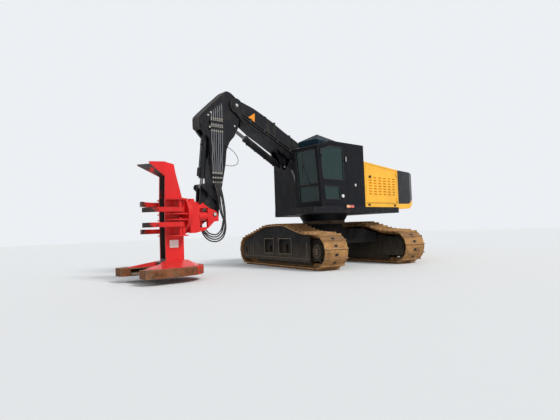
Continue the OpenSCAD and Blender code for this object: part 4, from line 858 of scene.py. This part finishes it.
class BUNCHER_OT_frame_bolts(bpy.types.Operator):
    """Adds the bolts of the final drives, idlers and guards, and pale strips on the guards' edges: painted
    highlight in a rubbed steel finish
    """

    bl_idname = "buncher.frame_bolts"
    bl_label = "Track frame bolts"

    def execute(self, context):
        for side, label in ((1, "left"), (-1, "right")):
            outward = (at_track(side, 0, 1, 0) - at_track(side, 0, 0, 0)).normalized()
            self.drive(side, outward).make("drive_bolts_" + label, "roller_steel", "undercarriage")
            self.guard(side, outward).make("guard_bolts_" + label, "undercarriage_black", "undercarriage")
            self.edge_highlight_strips(side, outward).make("guard_edges_" + label, "edge_highlight_steel", "undercarriage")
        return {"FINISHED"}

    def drive(self, side, outward):
        """The final drive's cover, with its ring of bolts and its two oil plugs."""
        shape = Shape()
        hub = at_track(side, DRIVE_HUB[0], GUARD_OUT + 0.010, DRIVE_HUB[1])
        cover = [(-0.002, 0.085), (0.012, 0.085), (0.018, 0.078), (0.018, 0.03), (0.024, 0.026)]
        shape.bolt_circle(hub, outward, DRIVE_RING, 12, 0.012)
        shape.turned(hub, outward, cover, 24)
        for high in (-0.055, 0.055):
            shape.bolt(hub + outward * 0.018 + Vector((0, 0, high)), outward, 0.010)
        return shape

    def guard(self, side, outward):
        """The idler's cap, the bolts of the guard's lower rail and those of the pockets' frames."""
        shape = Shape()
        cap = at_track(side, IDLER_HUB[0], IDLER_CAP_OUT, IDLER_HUB[1])
        shape.turned(cap, outward, [(-0.10, 0.062), (0.0, 0.062), (0.006, 0.056)], 24)
        shape.bolt_circle(cap + outward * 0.006, outward, 0.040, 4, 0.009)
        for k in range(RAIL_BOLTS):
            x = RAIL_BOLT_FIRST + RAIL_BOLT_PITCH * k
            shape.bolt(at_track(side, x, GUARD_OUT + 0.015, RAIL_BOLT_HIGH), outward, 0.013)
        for start, end in POCKETS:
            for x in (start - 0.015, end + 0.015):
                for z in POCKET_BOLTS:
                    shape.bolt(at_track(side, x, GUARD_OUT + 0.014, z), outward, 0.008)
        return shape

    def edge_highlight_strips(self, side, outward):
        """Pale strips on the edges of the step pockets' frames, the guard's ribs and its lower rail: painted
        highlight, in a rubbed bare steel finish.
        """
        shape = Shape()
        along = along_track(1, 0, 0) - along_track(0, 0, 0)
        turn = Matrix((along, outward, Vector((0, 0, 1)))).transposed()
        face, wide, thick = GUARD_OUT + 0.0145, 0.016, 0.003

        def strip(x, out, z, long, high):
            shape.block(at_track(side, x, out, z), (long, thick, high), turn, 0.001)

        for start, end in POCKETS:
            for x in (start - wide / 2, end + wide / 2):
                strip(x, face, (POCKET_LOW + POCKET_HIGH) / 2, wide, POCKET_HIGH - POCKET_LOW + 2 * wide)
            for z in (POCKET_LOW - wide / 2, POCKET_HIGH + wide / 2):
                strip((start + end) / 2, face, z, end - start, wide)
        for x in GUARD_RIBS:
            for s in (-1, 1):
                strip(x + s * 0.010, face + 0.001, RIB_MIDDLE, 0.008, RIB_TALL)
        strip(RAIL_EDGE, face + 0.001, RAIL_EDGE_HIGH, RAIL_EDGE_LONG, 0.010)
        return shape


# Cab and deck fittings

LEFT_SIDE = 1.490
DECK_TOP = 1.631
# How far ahead the front panes stand at the deck's top, and how far they lean ahead a metre up
CAB_FRONT, CAB_LEAN = 1.681, 0.08559
# The front panes between these heights and these distances from the middle
FRONT_PANES = ((1.780, 2.180), (2.240, 3.130))
FRONT_INNER, FRONT_OUTER = 0.710, 1.405
# The wiper's pivot and the middle of its blade, as [across, height], and the heights of the blade's points
WIPER_ROOT, WIPER_TIP = (1.08, 2.21), (0.90, 2.78)
BLADE_HEIGHTS = (2.44, 2.60, 2.78, 2.95, 3.08)
# The side panel's lock, and the door's grip with its pale face of painted highlight, as [ahead, height]
PANEL_LOCK, LOCK_RADIUS = (0.264, 2.235), 0.030
DOOR_GRIP = (0.690, 2.925)
# The side marker's middle as [ahead, height], its lenses with their places ahead, and half a lens's size
MARKER = (0.565, 1.634)
MARKER_LENSES = (("amber", 0.640), ("red", 0.480))
LENS_HALF_WIDE, LENS_HALF_HIGH = 0.082, 0.042
# A lens's rings as [how far out, share of its outline], and the points of each ring
LENS_DOME = ((0.016, 1.0), (0.026, 0.97), (0.034, 0.84), (0.038, 0.55))
LENS_POINTS = 24
# The hand levers' feet stand each side of the seat's middle, and the display's post ahead of them
SEAT_MIDDLE, LEVER_SIDE = 1.0, 0.30
LEVER_AHEAD, LEVER_FOOT = 0.80, 2.285
DISPLAY_FOOT = (1.42, 0.92, 1.70)


def glass_front(z):
    """How far ahead the front panes are at a height."""
    return CAB_FRONT + (z - DECK_TOP) * CAB_LEAN


def door_edge(z):
    """How far ahead the door's front edge is at a height."""
    return glass_front(z) - 0.090


def door_panes():
    """The outlines of the door's two panes, as [ahead, height]."""
    upper = [(0.770, 2.360), (door_edge(2.360) - 0.045, 2.360), (door_edge(3.120) - 0.045, 3.120),
             (1.251, 3.245), (0.770, 3.245)]
    lower = [(0.960, 1.830), (door_edge(1.830) - 0.085, 1.830), (door_edge(2.170) - 0.085, 2.170),
             (0.960, 2.170)]
    return upper, lower


def loop_of(points):
    """The closed run round an outline, with a few points along each side so that it stays straight."""
    run = []
    for a, b in zip(points, points[1:] + points[:1]):
        run += [a.lerp(b, t) for t in (0.02, 0.5, 0.98)]
    return run + [run[0]]


class BUNCHER_OT_cab_trim(bpy.types.Operator):
    """Adds window seals, the wiper, the levers inside, the lock, a pale face on the door's grip that paints
    its highlight, and the side marker
    """

    bl_idname = "buncher.cab_trim"
    bl_label = "Cab trim"

    def execute(self, context):
        self.seals(context.scene.buncher_sizes.seal / 2)
        self.wiper()
        self.lock_and_grip()
        self.side_marker()
        self.levers()
        return {"FINISHED"}

    def seals(self, r):
        door, front = Shape(), Shape()
        for pane in door_panes():
            door.sweep(loop_of([ahead(x, LEFT_SIDE - 0.002, z) for x, z in pane]), r, 8)
        for low, high in FRONT_PANES:
            corners = ((FRONT_INNER, low), (FRONT_OUTER, low), (FRONT_OUTER, high), (FRONT_INNER, high))
            front.sweep(loop_of([ahead(glass_front(z) - 0.002, y, z) for y, z in corners]), r, 8)
        door.make("door_seals", "gasket", "cab_door")
        front.make("front_seals", "gasket", "upper_works")

    def wiper(self):
        shape = Shape()
        (root_y, root_z), (tip_y, tip_z) = WIPER_ROOT, WIPER_TIP
        root = ahead(glass_front(root_z) + 0.012, root_y, root_z)
        tip = ahead(glass_front(tip_z) - 0.012, tip_y, tip_z)
        elbow = root.lerp(tip, 0.4) + Vector((0.018, 0, 0))
        blade = [ahead(glass_front(z) - 0.018, tip_y + (z - tip_z) * 0.12, z) for z in BLADE_HEIGHTS]
        hub = [(0, 0.022), (0.022, 0.022), (0.028, 0.014)]
        shape.turned(root - Vector((0.014, 0, 0)), (1, 0, 0), hub, 16)
        shape.sweep(smooth_run([root, elbow, tip + Vector((0.010, 0, 0))]), 0.006, 8)
        shape.sweep(blade, 0.007, 6)
        shape.make("front_wiper", "gasket", "upper_works")

    def lock_and_grip(self):
        lock, grip = Shape(), Shape()
        r = LOCK_RADIUS
        knob = [(0, r * 1.3), (0.004, r * 1.3), (0.010, r), (0.012, r * 0.6)]
        x, z = PANEL_LOCK
        lock.turned(ahead(x, LEFT_SIDE - 0.001, z), (0, 1, 0), knob, 20)
        lock.make("side_panel_locks", "zinc", "upper_works")
        # A pale zinc face on the black grip: painted highlight
        x, z = DOOR_GRIP
        grip.block(ahead(x, LEFT_SIDE + 0.037, z), (0.030, 0.006, 0.130), edge=0.002)
        grip.make("door_grip_highlight", "zinc", "cab_door")

    def side_marker(self):
        """An amber and a red lens with rounded corners, side by side on one base."""
        base = Shape()
        middle, level = MARKER
        base.block(ahead(middle, LEFT_SIDE + 0.008, level), (0.37, 0.018, 0.115), edge=0.006)
        base.make("marker_base", "frame_black", "upper_works")
        for colour, x in MARKER_LENSES:
            lens, rings = Shape(), []
            for out, scale in LENS_DOME:
                ring = []
                for k in range(LENS_POINTS):
                    angle = 2 * math.pi * k / LENS_POINTS
                    c, s = math.cos(angle), math.sin(angle)
                    wide = LENS_HALF_WIDE * math.copysign(abs(c) ** 0.55, c)
                    high = LENS_HALF_HIGH * math.copysign(abs(s) ** 0.7, s)
                    ring.append(ahead(x + wide * scale, LEFT_SIDE + out, level + high * scale))
                rings.append(ring)
            lens.skin(rings)
            lens.make("marker_%s_lens" % colour, colour + "_lens", "upper_works")

    def levers(self):
        """Two hand levers on the seat's arm rests and a small display ahead of them."""
        shape = Shape()
        boot = [(0, 0.045), (0.02, 0.042), (0.05, 0.020)]
        for side in (-1, 1):
            foot = ahead(LEVER_AHEAD, SEAT_MIDDLE + side * LEVER_SIDE, LEVER_FOOT)
            stem = [foot + Vector(v) for v in ((0, 0, 0.03), (0.005, 0, 0.10), (0.02, 0, 0.17))]
            shape.turned(foot - Vector((0, 0, 0.005)), (0, 0, 1), boot, 16)
            shape.sweep(smooth_run(stem), 0.018, 12)
        post = ahead(*DISPLAY_FOOT)
        shape.sweep([post, post + Vector((0.02, 0, 0.35)), post + Vector((0.02, 0, 0.72))], 0.018, 10)
        shape.block(post + Vector((0.01, 0, 0.80)), (0.035, 0.22, 0.16), edge=0.010)
        shape.make("cab_levers", "gasket", "upper_works")


# Hood fittings

# Latches as [ahead, height]
DOOR_LATCH = (-0.413, 2.517)
LEDGE_LATCHES = ((-0.336, 1.694), (-1.632, 1.684))
# The engine door's slots: how many, where the columns start and end, and each slot's size
SLOT_COLUMNS, SLOT_ROWS = 6, 7
SLOTS_FROM, SLOTS_TO = -1.665, -0.350
SLOT_WIDE, SLOT_TALL = 0.135, 0.042
SLOTS_LOW, SLOT_PITCH = 1.980, 0.080
BLADE_SLOPE = math.radians(-52)
# The ledge along the hood's foot, as [ahead, height], and its length
LEDGE, LEDGE_LONG = (-1.00, 1.738), 1.60
# The hood's top: where it starts, its height there, its length and its fall over that length
HOOD_START, HOOD_HIGH, HOOD_LONG, HOOD_FALL = -0.160, 2.935, 1.675, 0.150
# Lifting eyes as [ahead, across], and the run of one eye from foot to foot
LIFTING_EYES = ((-0.42, 1.20), (-0.42, -1.15), (-1.58, 1.20), (-1.58, -1.15))
EYE_RUN = ((-0.035, 0), (-0.034, 0.04), (0, 0.07), (0.034, 0.04), (0.035, 0))


def hood_top(x):
    """The height of the hood's top, which falls towards the rear."""
    return HOOD_HIGH - HOOD_FALL * (HOOD_START - x) / HOOD_LONG


def latch(shape, x, z):
    shape.block(ahead(x, LEFT_SIDE + 0.006, z), (0.11, 0.014, 0.055), edge=0.005)
    shape.block(ahead(x, LEFT_SIDE + 0.018, z), (0.070, 0.012, 0.024), edge=0.004)


class BUNCHER_OT_hood_trim(bpy.types.Operator):
    """Adds the blades of the louvres, the latches, the bottom ledge and the lifting eyes"""

    bl_idname = "buncher.hood_trim"
    bl_label = "Hood trim"

    def execute(self, context):
        self.louvres()
        door, ledge, strip, eyes = Shape(), Shape(), Shape(), Shape()
        latch(door, *DOOR_LATCH)
        door.make("door_latch", "gasket", "engine_door")
        for place in LEDGE_LATCHES:
            latch(ledge, *place)
        ledge.make("ledge_latches", "gasket", "upper_works")
        x, z = LEDGE
        strip.block(ahead(x, LEFT_SIDE + 0.004, z), (LEDGE_LONG, 0.012, 0.014), edge=0.004)
        strip.make("hood_ledge", "hood_yellow", "upper_works")
        for x, y in LIFTING_EYES:
            z = hood_top(x)
            eyes.block(ahead(x, y, z + 0.003), (0.10, 0.07, 0.010), edge=0.003)
            eyes.sweep(smooth_run([ahead(x + dx, y, z + dz) for dx, dz in EYE_RUN]), 0.008, 8)
        eyes.make("hood_lifting_eyes", "frame_black", "upper_works")
        return {"FINISHED"}

    def louvres(self):
        shape = Shape()
        slope = Matrix.Rotation(BLADE_SLOPE, 3, "X")
        for i in range(SLOT_COLUMNS):
            start = SLOTS_FROM + (SLOTS_TO - SLOTS_FROM - SLOT_WIDE) * i / (SLOT_COLUMNS - 1)
            for j in range(SLOT_ROWS):
                z = SLOTS_LOW + SLOT_PITCH * j + SLOT_TALL / 2
                middle = ahead(start + SLOT_WIDE / 2, LEFT_SIDE - 0.026, z)
                shape.block(middle, (SLOT_WIDE - 0.004, 0.056, 0.004), slope, 0.001)
        shape.make("louvre_blades", "hood_yellow", "engine_door")


# Boom and stick fittings. Places and outlines in the side view are [ahead, height].

BOOM_HALF = 0.210
STICK_HALF = 0.165
BLANK_TRIANGLE = [(3.012, 4.030), (2.788, 4.164), (2.800, 3.925)]
# Bright bolts on the stick's side, under its hose guard
GUARD_BOLTS = [(4.150, 4.000), (4.232, 3.925)]
# Pins whose ends show, as [body, ahead, height, how far out, cap radius]
PIN_ENDS = [
    ("boom", 3.391, 4.280, 0.224, 0.050), ("boom", 1.714, 2.819, 0.150, 0.034),
    ("upper_works", 0.150, 2.550, 0.276, 0.050), ("stick", 4.212, 3.628, 0.185, 0.030),
    ("stick", 3.439, 3.745, 0.165, 0.030), ("stick", 4.045, 1.850, 0.237, 0.030),
    ("wrist", 4.180, 1.490, 0.258, 0.050),
]
# The tilt cylinder's upper pin and its rod's eye
TILT_BASE, TILT_EYE = (4.212, 3.628), (4.386, 2.166)
# The port block and the foot of its pipe, as distances down the tilt barrel
PORT_DOWN, PIPE_FOOT_DOWN = 1.11, 0.42
# Bars over the boom's hoses, as [ahead, height, width, slope in degrees]
BOOM_BARS = (
    (0.80, 3.334, 0.42, 29), (1.52, 3.713, 0.42, 25), (2.08, 4.003, 0.42, 29), (2.372, 4.143, 0.33, 24),
)
BEAD = 0.005
BOOM_TOP_EDGE = [(0.33, 3.01), (1.225, 3.519), (1.762, 3.772), (2.204, 4.021), (2.628, 4.210), (2.875, 4.303)]
BOOM_LOW_EDGE = [
    (0.56, 2.48), (1.10, 2.83), (1.69, 3.11), (1.947, 3.242), (2.344, 3.45), (2.75, 3.65), (3.13, 3.90),
]
STICK_BACK_EDGE = [(3.60, 3.326), (3.708, 3.11), (3.755, 2.728), (3.90, 2.10), (3.99, 1.62)]
STICK_FRONT_EDGE = [(4.204, 3.343), (4.200, 2.998), (4.185, 2.60), (4.175, 2.33), (4.178, 1.90)]
# Weld beads, as [piece, body, half width, edges with how far the bead is moved ahead and up]
WELDS = (
    ("boom_welds", "boom", BOOM_HALF, ((BOOM_TOP_EDGE, 0, -0.016), (BOOM_LOW_EDGE, 0, 0.016))),
    ("stick_welds", "stick", STICK_HALF, ((STICK_BACK_EDGE, 0.014, 0), (STICK_FRONT_EDGE, -0.014, 0))),
)


class BUNCHER_OT_arm_trim(bpy.types.Operator):
    """Adds pin caps, bolts, weld beads, hose clamps, the tilt barrel's port and the blank triangles"""

    bl_idname = "buncher.arm_trim"
    bl_label = "Boom and stick trim"

    def execute(self, context):
        self.pin_ends()
        bolts, triangles = Shape(), Shape()
        for x, z in GUARD_BOLTS:
            for side in (-1, 1):
                bolts.bolt(ahead(x, side * (STICK_HALF + 0.001), z), (0, side, 0), 0.020)
        bolts.make("guard_bolts_stick", "zinc", "stick")
        for side in (-1, 1):
            outline = [ahead(x, side * (BOOM_HALF + 0.0004), z) for x, z in BLANK_TRIANGLE]
            triangles.slab(outline, (0, side * 0.0016, 0))
        triangles.make("blank_triangles", "marker_orange", "boom")
        self.clamps()
        self.welds()
        self.tilt_port()
        return {"FINISHED"}

    def pin_ends(self):
        """A painted cap on each pin's end, with a bright disc and bolt on it."""
        for n, (body, x, z, out, r) in enumerate(PIN_ENDS):
            cap, bright = Shape(), Shape()
            for side in (-1, 1):
                place, axis = ahead(x, side * out, z), (0, side, 0)
                disc = place + Vector(axis) * 0.010
                cap.turned(place, axis, [(-0.003, r), (0.006, r), (0.010, r * 0.86)], 24)
                bright.turned(disc, axis, [(-0.002, r * 0.8), (0.004, r * 0.8), (0.006, r * 0.7)], 20)
                bright.bolt(disc + Vector(axis) * 0.005, axis, r * 0.34)
            cap.make("pin_caps_%d" % n, "boom_black", body)
            bright.make("pin_bolts_%d" % n, "zinc", body)

    def tilt_port(self):
        """The block at the tilt barrel's mouth with the pipe that feeds it, on the barrel's front."""
        shape = Shape()
        base = ahead(TILT_BASE[0], 0, TILT_BASE[1])
        down = Vector((TILT_EYE[0] - TILT_BASE[0], 0, TILT_EYE[1] - TILT_BASE[1])).normalized()
        front = Vector((-down.z, 0, down.x))
        turn = Matrix((front, Vector((0, 1, 0)), front.cross(Vector((0, 1, 0))))).transposed()
        shape.block(base + down * PORT_DOWN + front * 0.098, (0.054, 0.090, 0.210), turn, 0.006)
        shape.block(base + down * PIPE_FOOT_DOWN + front * 0.086, (0.040, 0.060, 0.034), turn, 0.004)
        shape.sweep([base + down * t + front * 0.100 for t in (0.30, 0.50, 0.80, 1.02)], 0.012, 10)
        for s in (-0.055, 0.055):
            shape.bolt(base + down * (PORT_DOWN + s) + front * 0.125, front, 0.014)
        shape.make("tilt_port_block", "boom_black", "tilt_barrel")

    def clamps(self):
        """Bars that hold the hoses on the boom's top."""
        shape = Shape()
        for x, z, wide, rise in BOOM_BARS:
            turn = Matrix.Rotation(-math.radians(rise), 3, "Y")
            shape.block(ahead(x, 0, z), (0.045, wide, 0.010), turn, 0.003)
            for s in (-1, 1):
                shape.block(ahead(x, s * (wide / 2 - 0.006), z - 0.022), (0.045, 0.012, 0.050), turn, 0.003)
                shape.bolt(ahead(x, s * (wide / 2 - 0.03), z + 0.004), turn @ Vector((0, 0, 1)), 0.010)
        shape.make("boom_hose_clamps", "boom_black", "boom")

    def welds(self):
        """Fillet beads where the side plates meet the edges."""
        for name, body, half, edges in WELDS:
            shape = Shape()
            for edge, dx, dz in edges:
                for side in (-1, 1):
                    run = [ahead(x + dx, side * (half + 0.001), z + dz) for x, z in edge]
                    dense = [a.lerp(b, t / 12) for a, b in zip(run, run[1:]) for t in range(12)]
                    shape.sweep(dense + [run[-1]], BEAD, 6)
            shape.make(name, "boom_black", body)


# Felling head fittings

# The flange behind the tower: its place ahead, its height, and its bolts' circle
FLANGE = (4.8595, 1.5)
FLANGE_RADIUS = 0.345
# The gathering arms' pins: their place ahead, how far out they stand, and the heights of their tops
ARM_PIN, ARM_PIN_OUT = 5.170, 0.330
ARM_PIN_TOPS = (1.850, 1.388)
# Bolts on top of the saw housing: their places ahead, how far out and how high
HOUSING_BOLTS = (5.00, 5.25, 5.50)
HOUSING_BOLT_OUT, HOUSING_TOP = 0.56, 0.3305
TOWER_HALF = 0.1402
# The blank sheet on the tower's side, as [ahead, height]
BLANK_SHEET = [
    (5.352, 0.760), (5.352, 0.905), (5.340, 0.917), (5.139, 0.917), (5.127, 0.905), (5.127, 0.760),
    (5.139, 0.746), (5.340, 0.746),
]


class BUNCHER_OT_head_trim(bpy.types.Operator):
    """Adds the flange bolts, the nuts of the arms' pins, the housing's bolts and the blank sheets"""

    bl_idname = "buncher.head_trim"
    bl_label = "Head trim"

    def execute(self, context):
        flange, head, sheet = Shape(), Shape(), Shape()
        flange.bolt_circle(ahead(FLANGE[0], 0, FLANGE[1]), (-1, 0, 0), FLANGE_RADIUS, 20, 0.013)
        flange.make("flange_bolts", "head_red", "wrist")
        for side in (-1, 1):
            for z in ARM_PIN_TOPS:
                head.bolt(ahead(ARM_PIN, side * ARM_PIN_OUT, z + 0.010), (0, 0, 1), 0.030)
            for x in HOUSING_BOLTS:
                head.bolt(ahead(x, side * HOUSING_BOLT_OUT, HOUSING_TOP), (0, 0, 1), 0.012)
            sheet.slab([ahead(x, side * TOWER_HALF, z) for x, z in BLANK_SHEET], (0, side * 0.0018, 0))
        head.make("arm_pin_nuts", "head_red", "head")
        sheet.make("blank_sheets", "blank_white", "head")
        return {"FINISHED"}


# Camera and stage

CAMERA_PLACE = (9.100, 9.515, 1.079)
CAMERA_RIGHT = Vector((-0.73495153, 0.67723914, -0.03454563))
CAMERA_UP = Vector((0.00267896, 0.05384258, 0.99854584))
CAMERA_VIEW = Vector((-0.67811435, -0.73379025, 0.04138598))
# The lens's focal length and the picture's width, in the picture's pixels
FOCAL, PICTURE_WIDE = 462.447, 560
FLOOR_REACH = 60
# Lamps as [name, place, softness in degrees, which strength, share of it]
LAMPS = (
    ("key", (-2, 12, 11), 16, "key", 1.0),
    ("fill", (12, 5, 6), 60, "fill", 1.0),
    ("back", (-11, -8, 9), 60, "fill", 0.7),
)
SKY_LIGHT = shade(226, 234, 244)
BACKDROP = shade(236, 239, 243)


class BUNCHER_OT_camera(bpy.types.Operator):
    """Puts the camera where the photograph was taken from"""

    bl_idname = "buncher.camera"
    bl_label = "Camera"

    def execute(self, context):
        turn = Matrix((CAMERA_RIGHT, CAMERA_UP, -CAMERA_VIEW)).transposed()
        data = bpy.data.cameras.new("camera")
        data.sensor_width = 36.0
        data.lens = FOCAL / PICTURE_WIDE * data.sensor_width
        data.clip_end = 200
        camera = bpy.data.objects.new("camera", data)
        camera.matrix_world = Matrix.Translation(CAMERA_PLACE) @ turn.to_4x4()
        context.scene.collection.objects.link(camera)
        context.scene.camera = camera
        return {"FINISHED"}


class BUNCHER_OT_stage(bpy.types.Operator):
    """Adds the plain floor, the soft lamps and the pale surroundings"""

    bl_idname = "buncher.stage"
    bl_label = "Stage"

    def execute(self, context):
        stage = context.scene.buncher_stage
        self.floor(context, stage)
        for name, place, softness, which, share in LAMPS:
            light = bpy.data.lights.new(name, "SUN")
            light.energy = getattr(stage, which) * share
            light.angle = math.radians(softness)
            lamp = bpy.data.objects.new(name, light)
            turn = (-Vector(place)).to_track_quat("-Z", "Y").to_matrix().to_4x4()
            lamp.matrix_world = Matrix.Translation(place) @ turn
            context.scene.collection.objects.link(lamp)
        self.surroundings(context, stage)
        context.scene.view_settings.view_transform = "Standard"
        return {"FINISHED"}

    def floor(self, context, stage):
        corners = [(x * FLOOR_REACH, y * FLOOR_REACH, 0) for x, y in ((-1, -1), (1, -1), (1, 1), (-1, 1))]
        mesh = bpy.data.meshes.new("floor")
        mesh.from_pydata(corners, [], [(0, 1, 2, 3)])
        floor = bpy.data.objects.new("floor", mesh)
        floor.location.z = CAD_BOX[0][2] - 0.002
        context.scene.collection.objects.link(floor)
        Finish("floor_plain").set(Base_Color=stage.floor, Roughness=0.9)
        mesh.materials.append(MATERIALS["floor_plain"])

    def surroundings(self, context, stage):
        """Even light on the object, and near white wherever the camera or a reflection looks."""
        world = bpy.data.worlds.new("surroundings")
        context.scene.world = world
        world.use_nodes = True
        tree = world.node_tree
        tree.nodes.clear()
        path = tree.nodes.new("ShaderNodeLightPath")
        seen = path.outputs["Is Camera Ray"]
        for ray in ("Is Glossy Ray", "Is Transmission Ray"):
            either = tree.nodes.new("ShaderNodeMath")
            either.operation = "MAXIMUM"
            tree.links.new(seen, either.inputs[0])
            tree.links.new(path.outputs[ray], either.inputs[1])
            seen = either.outputs[0]
        even, pale = (tree.nodes.new("ShaderNodeBackground") for _ in range(2))
        even.inputs["Color"].default_value = SKY_LIGHT
        even.inputs["Strength"].default_value = stage.sky
        pale.inputs["Color"].default_value = BACKDROP
        mix = tree.nodes.new("ShaderNodeMixShader")
        out = tree.nodes.new("ShaderNodeOutputWorld")
        tree.links.new(seen, mix.inputs[0])
        tree.links.new(even.outputs[0], mix.inputs[1])
        tree.links.new(pale.outputs[0], mix.inputs[2])
        tree.links.new(mix.outputs[0], out.inputs["Surface"])


# Sidebar and running

OPERATORS = (
    BUNCHER_OT_camera,
    BUNCHER_OT_finishes,
    BUNCHER_OT_hoses,
    BUNCHER_OT_shoes,
    BUNCHER_OT_frame_bolts,
    BUNCHER_OT_cab_trim,
    BUNCHER_OT_hood_trim,
    BUNCHER_OT_arm_trim,
    BUNCHER_OT_head_trim,
    BUNCHER_OT_stage,
)


class BUNCHER_PT_panel(bpy.types.Panel):
    """Lists the steps that dress the machine"""

    bl_idname = "BUNCHER_PT_panel"
    bl_label = "Feller buncher"
    bl_space_type = "VIEW_3D"
    bl_region_type = "UI"
    bl_category = "Feller buncher"

    def draw(self, context):
        for operator in OPERATORS:
            self.layout.operator(operator.bl_idname)
        scene = context.scene
        for group in (scene.buncher_paint, scene.buncher_sizes, scene.buncher_stage):
            for key in group.bl_rna.properties.keys():
                if key not in ("rna_type", "name"):
                    self.layout.prop(group, key)


CLASSES = (BuncherPaint, BuncherSizes, BuncherStage, *OPERATORS, BUNCHER_PT_panel)


def register():
    for cls in CLASSES:
        bpy.utils.register_class(cls)
    bpy.types.Scene.buncher_paint = bpy.props.PointerProperty(type=BuncherPaint)
    bpy.types.Scene.buncher_sizes = bpy.props.PointerProperty(type=BuncherSizes)
    bpy.types.Scene.buncher_stage = bpy.props.PointerProperty(type=BuncherStage)


def unregister():
    del bpy.types.Scene.buncher_stage
    del bpy.types.Scene.buncher_sizes
    del bpy.types.Scene.buncher_paint
    for cls in reversed(CLASSES):
        bpy.utils.unregister_class(cls)


def main():
    register()
    for operator in OPERATORS:
        group, name = operator.bl_idname.split(".")
        getattr(getattr(bpy.ops, group), name)()


if __name__ == "__main__":
    main()
